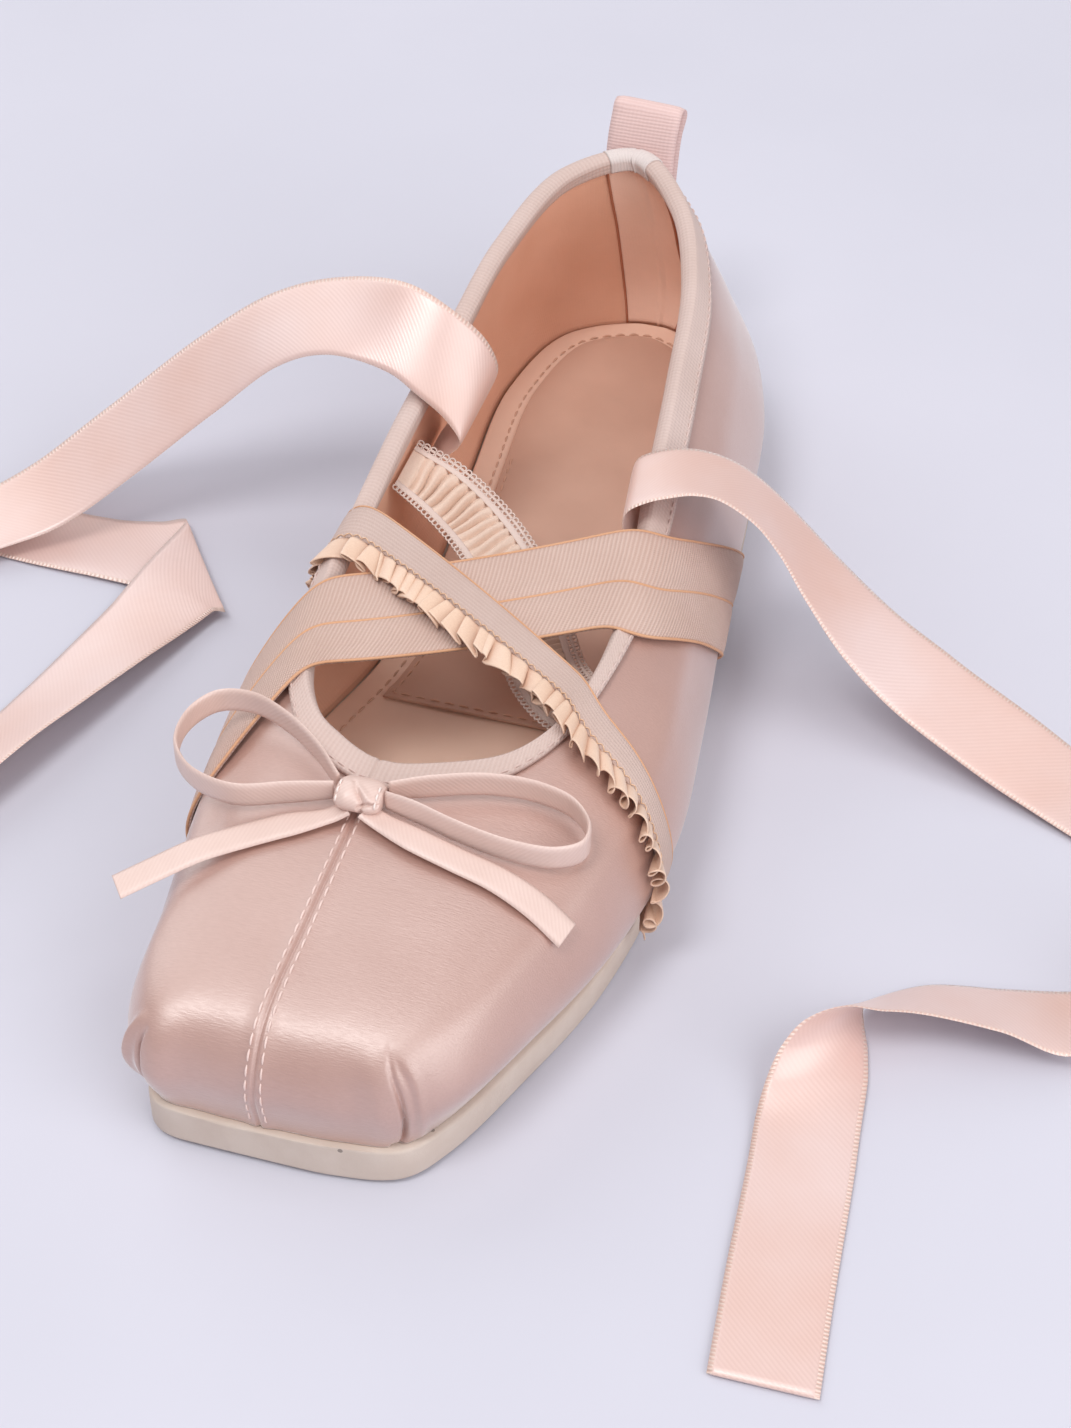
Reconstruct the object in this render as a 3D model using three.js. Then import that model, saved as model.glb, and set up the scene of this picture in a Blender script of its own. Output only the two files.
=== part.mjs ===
// Lace-up ballet flat: a left shoe with a square toe, two crossed straps, a bow and tie ribbons.
// Millimetres, +Z up. The toe points to -Y, the medial side is -X and the shoe stands on z = 0.
import * as THREE from 'three';

// Driving dimensions of the last
const LENGTH = 250;
const BALL_WIDTH = 87;
const BACK_HEIGHT = 54;

// The middle of the shoe's box, in the table's own directions, becomes the origin
const CENTRE_ACROSS = 3.7;
const CENTRE_ALONG = 126.4;

// Wall and sole
const WALL = 1.6;
const GAP = 0.3;
const SOLE_LEDGE = 1.3;
const SOLE_CHAMFER = 0.6;
const BULGE_RISE = 9.5;
const CROWN = 1.0;
const CROWN_AT = 0.38;
const INSOLE_THICK = 1.8;
const SOCK_THICK = 0.8;

// Raised centre seam and the pleats at the toe's corners
const SEAM_HEIGHT = 0.5;
const SEAM_SPREAD = 0.2;
const CREASE_DEPTH = 1.3;
const CREASE_SPREAD = 0.13;
const LIP_HEIGHT = 0.9;
const LIP_SPREAD = 0.2;
const PLEAT_RISE = 0.25;
const PLEAT_FADE = [0.36, 0.6];

// Trim
const BINDING_THICK = 1.0;
const BINDING_WIDTH = 5.2;
const STRAP_THICK = 1.0;
const STRAP_RIDGE = 0.3;
const STRAP_LIFT = 0.6;
const FRILL_THICK = 0.7;
const FRILL_WIDTH = 5.5;
const FRILL_PITCH = 7.5;
const FRILL_WAVE = 1.6;
const LACE_THICK = 0.8;
const LACE_PITCH = 6.5;
const LACE_WAVE = 0.8;
const RIBBON_THICK = 0.8;
const BOW_CORD_THICK = 0.9;
const PULL_LOOP_THICK = 1.0;
const BINDING_ROUND = 0.6;
const SOCK_INSET = 6.5;
const SOCK_FRONT = 107;

// How a strap clears the binding. It starts just above the sole, climbs ahead of the binding's lower edge and
// turns over the topline: foot and climb are parts of the wall's height, turn is parts of the clearance.
const STRAP_FOOT = 0.02;
const STRAP_OVER_BINDING = 0.4;
const STRAP_CLEAR = GAP + BINDING_THICK + STRAP_OVER_BINDING;
const STRAP_CLIMB = { ahead: 0.16, length: 0.12 };
const STRAP_TURN = { outside: 0.75, inside: 0.5 };

// Sole heights along the shoe, in mm, with the along column in per cent of the length
const SOLE_ROWS = [
  { along: -1.0, bottom: 0.9, top: 8.5 },
  { along: 8.0, bottom: 0.4, top: 7.6 },
  { along: 17.0, bottom: 0.0, top: 7.0 },
  { along: 43.0, bottom: 0.0, top: 7.0 },
  { along: 59.0, bottom: 2.4, top: 8.2 },
  { along: 74.0, bottom: 0.0, top: 9.3 },
  { along: 95.0, bottom: 0.0, top: 9.5 },
  { along: 100.0, bottom: 1.2, top: 9.5 },
];

// Sections of the upper, in order round the shoe from the toe centre by the lateral side to the heel and back.
// across is per cent of the ball width, along per cent of the length and height per cent of the back height.
// flare is how far the wall swells out over the sole, in mm, and ridge says how far in and up the shoulder lies
// on the way from that swelling to the topline.
const SECTION_ROWS = [
  { name: 'toe centre', across: -5.7, along: -0.2, flare: 0.4, ridge: [0.09, 0.52], top: [-4.0, 24.4, 69.0] },
  { name: 'toe lateral', across: 9.2, along: 0.0, flare: 0.4, ridge: [0.09, 0.52], top: [10.3, 25.7, 69.8] },
  { name: 'corner lateral', across: 21.8, along: 1.0, flare: 0.8, ridge: [0.07, 0.47], top: [19.5, 27.3, 70.7] },
  { name: 'behind corner', across: 27.8, along: 3.8, flare: 3.5, ridge: [0.10, 0.45], top: [25.0, 29.6, 71.7] },
  { name: 'toes lateral', across: 37.7, along: 12.6, flare: 4.3, ridge: [0.14, 0.50], top: [29.0, 33.0, 73.0] },
  { name: 'little toe', across: 44.8, along: 20.6, flare: 4.6, ridge: [0.17, 0.55], top: [31.3, 37.6, 74.8] },
  { name: 'ball lateral', across: 48.5, along: 31.2, flare: 5.0, ridge: [0.20, 0.56], top: [32.0, 43.2, 76.7] },
  { name: 'instep lateral', across: 46.6, along: 42.4, flare: 4.2, ridge: [0.22, 0.55], top: [30.8, 49.6, 78.9] },
  { name: 'waist lateral', across: 42.8, along: 56.0, flare: 3.2, ridge: [0.25, 0.50], top: [28.0, 57.2, 82.2] },
  { name: 'quarter lateral', across: 39.1, along: 70.0, flare: 3.0, ridge: [0.28, 0.50], top: [23.2, 70.4, 87.8] },
  { name: 'heel lateral', across: 33.6, along: 83.0, flare: 3.0, ridge: [0.34, 0.48], top: [17.9, 82.4, 94.0] },
  { name: 'heel turn lateral', across: 21.8, along: 92.8, flare: 2.6, ridge: [0.38, 0.46], top: [7.6, 92.0, 98.5] },
  { name: 'heel back', across: -0.6, along: 97.7, flare: 2.8, ridge: [0.35, 0.46], top: [-8.3, 98.0, 100.0] },
  { name: 'heel turn medial', across: -23.6, along: 94.2, flare: 3.2, ridge: [0.20, 0.50], top: [-23.9, 93.8, 98.7] },
  { name: 'heel medial', across: -32.4, along: 84.4, flare: 3.6, ridge: [0.15, 0.50], top: [-31.3, 83.0, 94.4] },
  { name: 'quarter medial', across: -31.0, along: 72.0, flare: 4.4, ridge: [0.10, 0.50], top: [-33.1, 72.4, 88.5] },
  { name: 'waist medial', across: -27.6, along: 59.2, flare: 7.0, ridge: [0.10, 0.50], top: [-34.7, 60.4, 82.2] },
  { name: 'instep medial', across: -30.5, along: 47.2, flare: 6.5, ridge: [0.12, 0.52], top: [-34.7, 51.2, 77.4] },
  { name: 'ball medial', across: -38.5, along: 36.0, flare: 5.6, ridge: [0.12, 0.55], top: [-33.9, 43.2, 74.4] },
  { name: 'big toe joint', across: -40.0, along: 27.2, flare: 4.0, ridge: [0.15, 0.55], top: [-32.2, 37.6, 73.0] },
  { name: 'big toe', across: -38.0, along: 18.4, flare: 4.0, ridge: [0.14, 0.52], top: [-29.7, 33.2, 72.0] },
  { name: 'toes medial', across: -34.6, along: 9.6, flare: 3.8, ridge: [0.12, 0.47], top: [-26.0, 30.0, 71.3] },
  { name: 'beside corner', across: -31.4, along: 3.0, flare: 4.3, ridge: [0.09, 0.45], top: [-20.9, 27.4, 70.7] },
  { name: 'corner medial', across: -28.0, along: 0.3, flare: 2.8, ridge: [0.08, 0.47], top: [-15.2, 26.0, 70.0] },
  { name: 'toe medial', across: -17.2, along: -0.2, flare: 0.4, ridge: [0.09, 0.52], top: [-9.8, 25.0, 69.4] },
];

// Pleats at the toe's corners: the place of the crease and of the lip beside it, counted in sections
const PLEAT_ROWS = [
  { name: 'lateral pleat', crease: 2.15, lip: 2.45 },
  { name: 'medial pleat', crease: 22.65, lip: 22.35 },
];

// Straps: where each edge lies at the five knots of the wall, from the topline down, counted in sections
const WIDE_STRAP = {
  lateralBack: { topline: 7.3, crown: 7.85, shoulder: 8.13, swelling: 8.55, feather: 8.8 },
  lateralFront: { topline: 5.65, crown: 6.75, shoulder: 7.22, swelling: 7.7, feather: 7.95 },
  medialBack: { topline: 18.4, crown: 18.45, shoulder: 18.5, swelling: 18.6, feather: 18.6 },
  medialFront: { topline: 20.45, crown: 20.15, shoulder: 20.0, swelling: 19.75, feather: 19.6 },
  arch: -1.2,
};
const NARROW_STRAP = {
  lateralBack: { topline: 4.5, crown: 5.43, shoulder: 5.67, swelling: 5.8, feather: 5.85 },
  lateralFront: { topline: 3.95, crown: 5.15, shoulder: 5.46, swelling: 5.58, feather: 5.62 },
  medialBack: { topline: 17.25, crown: 16.95, shoulder: 16.75, swelling: 16.55, feather: 16.45 },
  medialFront: { topline: 17.68, crown: 17.3, shoulder: 17.1, swelling: 16.9, feather: 16.8 },
  arch: 1.5,
};

// Tapes and cords: at is a point on the centre line and half runs from it to one edge, in mm across, along, up
const LACE_ROWS = [
  { at: [-28.2, 146.0, 36.6], half: [0.2, 7.9, 0.4] },
  { at: [-20.0, 143.6, 34.0], half: [2.6, 7.4, 0.6] },
  { at: [-10.0, 138.0, 30.5], half: [4.0, 6.9, 0.4] },
  { at: [0.0, 127.5, 28.4], half: [5.4, 5.9, 0.0] },
  { at: [8.5, 113.0, 28.0], half: [6.4, 4.8, 0.0] },
  { at: [15.5, 101.0, 28.6], half: [6.0, 5.2, 0.2] },
  { at: [23.0, 93.0, 30.5], half: [4.4, 6.7, 0.4] },
  { at: [30.0, 89.6, 31.6], half: [2.4, 7.5, 0.4] },
  { at: [35.9, 87.4, 32.2], half: [0.9, 7.9, 0.3] },
];
const LEFT_LOOP_ROWS = [
  { at: [-8.7, 52.6, 40.2], half: [0, 0, 2.2] },
  { at: [-14.0, 57.3, 41.6], half: [0, 0, 2.7] },
  { at: [-22.0, 62.3, 42.6], half: [0, 0, 2.7] },
  { at: [-30.0, 65.5, 42.2], half: [0, 0, 2.7] },
  { at: [-36.5, 64.8, 41.2], half: [0, 0, 2.7] },
  { at: [-40.0, 59.5, 40.3], half: [0, 0, 2.7] },
  { at: [-39.6, 52.8, 39.5], half: [0, 0, 2.7] },
  { at: [-34.8, 47.6, 39.0], half: [0, 0, 2.7] },
  { at: [-26.0, 45.4, 39.0], half: [0, 0, 2.7] },
  { at: [-17.0, 48.2, 39.3], half: [0, 0, 2.7] },
  { at: [-8.8, 50.6, 40.0], half: [0, 0, 2.2] },
];
const RIGHT_LOOP_ROWS = [
  { at: [0.6, 53.0, 40.2], half: [0, 0, 2.2] },
  { at: [8.0, 55.6, 41.0], half: [0, 0, 2.7] },
  { at: [17.0, 58.4, 41.4], half: [0, 0, 2.7] },
  { at: [26.0, 60.0, 40.4], half: [0, 0, 2.7] },
  { at: [32.6, 59.4, 38.8], half: [0, 0, 2.7] },
  { at: [36.2, 56.4, 37.2], half: [0, 0, 2.7] },
  { at: [36.4, 52.4, 36.5], half: [0, 0, 2.7] },
  { at: [32.5, 48.8, 36.9], half: [0, 0, 2.7] },
  { at: [24.5, 47.0, 38.2], half: [0, 0, 2.7] },
  { at: [15.0, 47.8, 39.2], half: [0, 0, 2.7] },
  { at: [7.0, 49.6, 39.8], half: [0, 0, 2.7] },
  { at: [0.8, 50.9, 39.9], half: [0, 0, 2.2] },
];
const LEFT_TAIL_ROWS = [
  { at: [-8.4, 46.9, 37.2], half: [-0.9, 1.5, 0.2] },
  { at: [-15.0, 43.4, 36.4], half: [-1.6, 2.1, 0.3] },
  { at: [-21.8, 39.4, 35.4], half: [-1.7, 2.1, 0.3] },
  { at: [-28.6, 34.6, 34.6], half: [-1.7, 2.1, 0.3] },
  { at: [-34.8, 29.4, 33.0], half: [-1.7, 2.1, 0.3] },
  { at: [-40.0, 24.5, 31.8], half: [-1.7, 2.1, 0.3] },
];
const RIGHT_TAIL_ROWS = [
  { at: [0.8, 47.6, 37.8], half: [0.9, 2.0, 0.0] },
  { at: [8.0, 45.2, 37.6], half: [0.9, 2.6, 0.1] },
  { at: [16.0, 43.4, 36.8], half: [0.8, 2.6, 0.2] },
  { at: [24.0, 42.0, 35.6], half: [0.8, 2.6, 0.3] },
  { at: [31.0, 40.4, 33.2], half: [0.8, 2.6, 0.5] },
  { at: [37.5, 38.8, 29.0], half: [0.8, 2.6, 0.6] },
];
const LEFT_RIBBON_ROWS = [
  { at: [-29.2, 164.0, 26.0], half: [0.0, -9.3, 0.0] },
  { at: [-24.8, 163.2, 33.0], half: [0.0, -9.3, -0.5] },
  { at: [-19.5, 161.6, 38.6], half: [-0.5, -9.2, -1.4] },
  { at: [-17.0, 160.2, 44.0], half: [-1.4, -8.6, -3.2] },
  { at: [-20.0, 160.7, 49.5], half: [-2.0, -7.6, -5.0] },
  { at: [-26.8, 161.4, 54.4], half: [-1.6, -6.8, -6.2] },
  { at: [-35.0, 163.6, 57.0], half: [0.0, -7.1, -6.1] },
  { at: [-49.8, 166.8, 54.8], half: [1.8, -8.4, -3.6] },
  { at: [-63.5, 167.4, 48.2], half: [3.7, -8.0, -2.9] },
  { at: [-79.3, 164.0, 35.0], half: [5.3, -7.1, -2.9] },
  { at: [-97.3, 156.5, 19.0], half: [5.4, -7.0, -3.0] },
  { at: [-111.5, 147.3, 8.4], half: [6.2, -6.7, -1.8] },
  { at: [-124.0, 138.0, 4.2], half: [6.6, -6.6, -0.2] },
  { at: [-136.0, 126.5, 2.4], half: [7.0, -6.1, 0.0] },
  { at: [-148.0, 115.5, 1.0], half: [6.4, -6.8, 0.0] },
  { at: [-160.0, 108.5, 0.8], half: [2.5, -9.0, 0.0] },
  { at: [-171.0, 112.0, 0.8], half: [-6.0, -7.1, 0.0] },
  { at: [-175.5, 123.0, 0.8], half: [-9.2, -1.5, 0.0] },
  { at: [-171.5, 134.5, 0.8], half: [-7.9, 5.0, 0.0] },
  { at: [-161.0, 142.0, 0.8], half: [-4.0, 8.4, 0.0] },
  { at: [-147.0, 145.0, 0.8], half: [-1.0, 9.2, 0.0] },
  { at: [-130.0, 145.0, 0.8], half: [0.0, 9.3, 0.0] },
  { at: [-112.0, 143.6, 0.8], half: [0.3, 9.4, 0.0] },
  { at: [-97.0, 143.4, 1.0], half: [-0.5, 9.6, 0.0] },
  { at: [-82.5, 143.6, 1.4], half: [-5.5, 11.0, 0.0] },
  { at: [-73.0, 142.4, 2.6], half: [-9.2, 12.7, 0.0] },
  { at: [-75.0, 134.0, 3.0], half: [-9.6, 5.5, 0.0] },
  { at: [-77.5, 124.0, 2.6], half: [-9.6, 2.4, -0.8] },
  { at: [-81.0, 111.5, 3.2], half: [-9.1, 2.4, -2.0] },
  { at: [-85.5, 95.0, 4.2], half: [-8.4, 2.6, -3.2] },
  { at: [-91.0, 77.0, 5.0], half: [-7.8, 3.0, -4.0] },
  { at: [-99.0, 54.0, 4.6], half: [-8.0, 3.2, -3.6] },
];
const RIGHT_RIBBON_ROWS = [
  { at: [33.5, 139.2, 31.0], half: [1.1, -9.2, 0.0] },
  { at: [23.5, 139.7, 38.5], half: [1.0, -9.2, 0.2] },
  { at: [20.0, 140.0, 43.2], half: [1.4, -9.2, 0.4] },
  { at: [20.6, 140.5, 46.8], half: [1.4, -9.2, 0.6] },
  { at: [24.0, 141.4, 49.0], half: [1.4, -9.2, 0.8] },
  { at: [28.5, 142.6, 50.1], half: [1.2, -9.2, 1.0] },
  { at: [33.3, 143.8, 50.2], half: [0.7, -9.2, 1.6] },
  { at: [38.8, 144.7, 48.7], half: [0.2, -9.0, 2.2] },
  { at: [45.4, 145.0, 44.4], half: [0.3, -9.0, 2.4] },
  { at: [51.8, 144.5, 38.2], half: [-0.4, -9.0, 2.4] },
  { at: [59.0, 143.1, 30.3], half: [-1.8, -8.8, 1.6] },
  { at: [69.8, 140.2, 20.8], half: [-3.2, -8.7, 0.2] },
  { at: [81.8, 137.2, 13.6], half: [-3.5, -8.5, -1.4] },
  { at: [98.8, 132.6, 6.6], half: [-3.4, -8.5, -1.6] },
  { at: [113.0, 127.5, 2.6], half: [-3.2, -8.7, -0.6] },
  { at: [127.0, 121.0, 1.0], half: [-4.2, -8.3, 0.0] },
  { at: [140.0, 112.0, 1.6], half: [-7.0, -6.1, 0.8] },
  { at: [148.0, 99.5, 4.2], half: [-8.4, -2.0, 3.2] },
  { at: [148.5, 87.0, 8.0], half: [-6.0, 1.0, 7.0] },
  { at: [143.0, 77.0, 9.9], half: [-2.0, 0.0, 9.0] },
  { at: [134.0, 70.5, 8.0], half: [0.6, -6.0, 7.0] },
  { at: [123.2, 67.8, 2.8], half: [1.2, -9.1, 1.6] },
  { at: [110.8, 65.3, 5.0], half: [1.2, -8.4, 3.7] },
  { at: [97.6, 63.0, 6.1], half: [0.4, -8.0, 4.8] },
  { at: [90.8, 59.8, 6.7], half: [0.1, -7.4, 5.6] },
  { at: [85.6, 56.4, 7.6], half: [-1.2, -6.6, 6.5] },
  { at: [83.2, 52.6, 6.7], half: [-4.4, -5.9, 5.6] },
  { at: [82.5, 48.0, 4.5], half: [-7.0, -4.7, 3.4] },
  { at: [82.6, 42.0, 2.4], half: [-8.5, -3.2, 1.2] },
  { at: [82.9, 35.0, 1.2], half: [-9.0, -2.0, 0.2] },
  { at: [84.2, 22.0, 0.8], half: [-9.2, -0.6, 0.0] },
  { at: [86.0, 0.0, 0.8], half: [-9.3, 0.0, 0.0] },
  { at: [88.1, -21.2, 0.8], half: [-9.3, -0.2, 0.0] },
];

// Pull loop: its folded path behind the heel, from the middle of the topline there
const PULL_LOOP_ROWS = [
  { at: [-0.4, 2.2, -14.0], half: [7.7, 0, 0] },
  { at: [-0.4, 2.5, -7.0], half: [7.7, 0, 0] },
  { at: [-0.2, 3.7, 1.0], half: [7.7, 0, 0] },
  { at: [0.2, 5.2, 6.0], half: [7.7, 0, 0] },
  { at: [0.4, 6.6, 8.2], half: [7.7, 0, -0.4] },
  { at: [0.6, 8.6, 8.2], half: [7.7, 0, -0.4] },
  { at: [0.8, 9.6, 6.0], half: [7.7, 0, 0] },
  { at: [0.0, 8.6, 1.0], half: [7.7, 0, 0] },
  { at: [-0.3, 6.6, -7.0], half: [7.7, 0, 0] },
  { at: [-0.4, 5.8, -13.0], half: [7.7, 0, 0] },
];
const HEEL_ROW = 12;

// Bow knot: places across it, with its half depth and half height there
const KNOT_AT = [-3.9, 50.8, 39.9];
const KNOT_ROWS = [
  { across: -4.2, depth: 2.4, height: 1.5 },
  { across: -2.6, depth: 3.6, height: 2.2 },
  { across: 0.0, depth: 3.8, height: 2.4 },
  { across: 2.6, depth: 3.6, height: 2.2 },
  { across: 4.2, depth: 2.4, height: 1.5 },
];
const KNOT_SIDES = 12;

// Steps of the upper's mesh: between two sections, and between the five knots of one section
const STEPS_AROUND = 3;
const FINE_STEPS = 8;
const FINE_SECTIONS = [0, 2, 22, 24];
const STEPS_UP = [2, 3, 3, 3];

// Steps of the other meshes
const OUTLINE_STEPS = 400;
const PLATE_ENDS = [0.1, 0.5, 1.2, 2.4, 4.2, 7, 11];
const PLATE_STEP = 11;
const PLATE_CLEAR = 16;
const BINDING_STEPS = 60;
const STRAP_STEPS = { wall: 14, bridge: 12 };
const FRILL_STEPS = { wall: 30, bridge: 32 };
const TAPE_STEPS = 2;
const LACE_STEPS = 8;

// Short spans over which directions on the wall are measured, in sections and in parts of its height
const NEAR_ROW = 0.1;
const NEAR_UP = 0.02;
const NEAR_EDGE = 0.03;

const smooth = (x) => x * x * (3 - 2 * x);
const clamp = THREE.MathUtils.clamp;
const lerp = THREE.MathUtils.lerp;

// Height of one sole column at a place along the shoe, eased between the rows so that flat stretches stay flat
function soleHeight(y, column) {
  const along = (100 * y) / LENGTH;
  const last = SOLE_ROWS.length - 1;
  let k = 0;
  while (k < last - 1 && along > SOLE_ROWS[k + 1].along) k += 1;
  const a = SOLE_ROWS[k];
  const b = SOLE_ROWS[k + 1];
  const w = clamp((along - a.along) / (b.along - a.along), 0, 1);
  return lerp(a[column], b[column], smooth(w));
}

// The five knots of every section: feather edge, swelling, shoulder, crown and topline
function sectionKnots() {
  const feather = SECTION_ROWS.map(({ across, along }) => {
    const y = (along * LENGTH) / 100;
    return new THREE.Vector3((across * BALL_WIDTH) / 100, y, soleHeight(y, 'top') + GAP);
  });
  const loop = new THREE.CatmullRomCurve3(feather, true, 'centripetal');
  const knots = [feather, [], [], [], []];
  SECTION_ROWS.forEach(({ flare, ridge, top }, k) => {
    const ahead = loop.getTangent(k / SECTION_ROWS.length);
    const out = new THREE.Vector3(-ahead.y, ahead.x, 0).normalize().negate();
    const swelling = feather[k].clone().addScaledVector(out, flare);
    swelling.z += BULGE_RISE;
    const topline = new THREE.Vector3(
      (top[0] * BALL_WIDTH) / 100,
      (top[1] * LENGTH) / 100,
      (top[2] * BACK_HEIGHT) / 100,
    );
    const shoulder = new THREE.Vector3(
      lerp(swelling.x, topline.x, ridge[0]),
      lerp(swelling.y, topline.y, ridge[0]),
      lerp(swelling.z, topline.z, ridge[1]),
    );
    const crown = shoulder.clone().lerp(topline, CROWN_AT);
    crown.z += CROWN;
    knots[1].push(swelling);
    knots[2].push(shoulder);
    knots[3].push(crown);
    knots[4].push(topline);
  });
  return knots.map((column) => new THREE.CatmullRomCurve3(column, true, 'centripetal'));
}

const KNOT_LOOPS = sectionKnots();
const ROUND = SECTION_ROWS.length;

// Point of the last's surface: row counts sections round the shoe, up runs from 0 at the sole to 1 at the topline
function lastPoint(row, up) {
  const t = (((row % ROUND) + ROUND) % ROUND) / ROUND;
  const profile = new THREE.CatmullRomCurve3(KNOT_LOOPS.map((loop) => loop.getPoint(t)), false, 'centripetal');
  return profile.getPoint(clamp(up, 0, 1));
}

// Outward direction of the last's surface
function lastNormal(row, up) {
  const low = Math.max(up - NEAR_UP, 0);
  const high = Math.min(up + NEAR_UP, 1);
  const round = lastPoint(row + NEAR_ROW, up).sub(lastPoint(row - NEAR_ROW, up));
  const rise = lastPoint(row, high).sub(lastPoint(row, low));
  return round.cross(rise).normalize();
}

const hump = (x, spread) => Math.exp(-((x / spread) ** 2));

// Distance in sections from one place round the shoe to another, the short way
function rowGap(row, at) {
  return ((((row - at + ROUND / 2) % ROUND) + ROUND) % ROUND) - ROUND / 2;
}

// How far the wall steps out at the centre seam and in at the pleats, which start at the sole and die out above
function relief(row, up) {
  const rise = smooth(clamp(up / PLEAT_RISE, 0, 1));
  const fade = rise * (1 - smooth(clamp((up - PLEAT_FADE[0]) / (PLEAT_FADE[1] - PLEAT_FADE[0]), 0, 1)));
  let step = SEAM_HEIGHT * hump(rowGap(row, 0), SEAM_SPREAD);
  PLEAT_ROWS.forEach(({ crease, lip }) => {
    step -= fade * CREASE_DEPTH * hump(rowGap(row, crease), CREASE_SPREAD);
    step += fade * LIP_HEIGHT * hump(rowGap(row, lip), LIP_SPREAD);
  });
  return step;
}

function offsetPoint(row, up, offset) {
  return lastPoint(row, up).addScaledVector(lastNormal(row, up), relief(row, up) + offset);
}

// Closed solid through a list of sections, each a closed ring of as many points
function loft(rings, endless) {
  const around = rings[0].length;
  const positions = rings.flat().flatMap((p) => [p.x, p.y, p.z]);
  const index = [];
  const spans = endless ? rings.length : rings.length - 1;
  for (let i = 0; i < spans; i += 1) {
    const next = (i + 1) % rings.length;
    for (let j = 0; j < around; j += 1) {
      const side = (j + 1) % around;
      const a = i * around + j;
      const b = i * around + side;
      const c = next * around + side;
      const d = next * around + j;
      index.push(a, b, c, a, c, d);
    }
  }
  if (!endless) {
    const last = (rings.length - 1) * around;
    for (let j = 1; j < around - 1; j += 1) {
      index.push(0, j + 1, j);
      index.push(last, last + j, last + j + 1);
    }
  }
  const geometry = new THREE.BufferGeometry();
  geometry.setAttribute('position', new THREE.Float32BufferAttribute(positions, 3));
  geometry.setIndex(index);
  return facingOut(geometry);
}

// Turns every face over if the solid came out inside out
function facingOut(geometry) {
  const p = geometry.attributes.position;
  const index = geometry.index.array;
  const corner = (k) => new THREE.Vector3().fromBufferAttribute(p, index[k]);
  let volume = 0;
  for (let k = 0; k < index.length; k += 3) volume += corner(k).dot(corner(k + 1).cross(corner(k + 2)));
  if (volume < 0) {
    for (let k = 0; k < index.length; k += 3) [index[k + 1], index[k + 2]] = [index[k + 2], index[k + 1]];
  }
  geometry.computeVertexNormals();
  return geometry;
}

// Rows round the shoe where the upper is sampled
function rowSamples() {
  return SECTION_ROWS.flatMap((_, section) => {
    const steps = FINE_SECTIONS.includes(section) ? FINE_STEPS : STEPS_AROUND;
    return Array.from({ length: steps }, (__, k) => section + k / steps);
  });
}

// Heights up the wall where it is sampled
function upSamples() {
  const spans = STEPS_UP.length;
  const ups = [0];
  STEPS_UP.forEach((steps, span) => {
    for (let k = 1; k <= steps; k += 1) ups.push((span + k / steps) / spans);
  });
  return ups;
}

function upperGeometry() {
  const ups = upSamples();
  const rings = rowSamples().map((row) => {
    const outer = ups.map((up) => offsetPoint(row, up, 0));
    const inner = ups.map((up) => offsetPoint(row, up, -WALL)).reverse();
    return [...outer, ...inner];
  });
  return loft(rings, true);
}

// Feather edge moved outwards in plan, split into the lateral and the medial side as functions of y
function planSides(outset) {
  const loop = KNOT_LOOPS[0];
  const points = Array.from({ length: OUTLINE_STEPS }, (_, k) => {
    const p = loop.getPoint(k / OUTLINE_STEPS);
    const ahead = loop.getTangent(k / OUTLINE_STEPS);
    const out = new THREE.Vector2(ahead.y, -ahead.x).normalize();
    return new THREE.Vector2(p.x, p.y).addScaledVector(out, outset);
  });
  const toe = points.reduce((best, p, k) => (p.y < points[best].y ? k : best), 0);
  const heel = points.reduce((best, p, k) => (p.y > points[best].y ? k : best), 0);
  const walk = (from, to, step) => {
    const side = [points[from]];
    for (let k = from; k !== to; ) {
      k = (k + step + OUTLINE_STEPS) % OUTLINE_STEPS;
      side.push(points[k]);
    }
    return side;
  };
  const lateral = walk(toe, heel, 1);
  const medial = walk(toe, heel, -1);
  return { lateral, medial, toe: points[toe].y, heel: points[heel].y };
}

function acrossAt(side, y) {
  let k = 0;
  while (k < side.length - 2 && side[k + 1].y < y) k += 1;
  const a = side[k];
  const b = side[k + 1];
  return lerp(a.x, b.x, clamp((y - a.y) / (b.y - a.y || 1), 0, 1));
}

// Places along a plate, close together at its round ends
function plateStations(from, to) {
  const stations = PLATE_ENDS.map((d) => from + d);
  for (let y = from + 2 * PLATE_STEP; y < to - PLATE_CLEAR; y += PLATE_STEP) stations.push(y);
  return [...stations, ...PLATE_ENDS.map((d) => to - d).reverse()];
}

// Plate with the shoe's outline, no further forward than front: bottom and top give its heights
function plate(outset, front, bottom, top, chamfer) {
  const plan = planSides(outset);
  const inset = planSides(outset - chamfer);
  const rings = plateStations(Math.max(plan.toe, front), plan.heel).map((y) => {
    const within = clamp(y, inset.toe, inset.heel);
    const right = acrossAt(plan.lateral, y);
    const left = acrossAt(plan.medial, y);
    const tuckedRight = Math.min(acrossAt(inset.lateral, within), right);
    const tuckedLeft = Math.max(acrossAt(inset.medial, within), left);
    const edge = bottom(y) + chamfer;
    return [
      new THREE.Vector3(tuckedLeft, y, bottom(y)),
      new THREE.Vector3(tuckedRight, y, bottom(y)),
      new THREE.Vector3(right, y, edge),
      new THREE.Vector3(right, y, top(y)),
      new THREE.Vector3(left, y, top(y)),
      new THREE.Vector3(left, y, edge),
    ];
  });
  return loft(rings, false);
}

const soleBottom = (y) => soleHeight(y, 'bottom');
const soleTop = (y) => soleHeight(y, 'top');
const insoleBottom = (y) => soleTop(y) + GAP;
const insoleTop = (y) => insoleBottom(y) + INSOLE_THICK;

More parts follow.
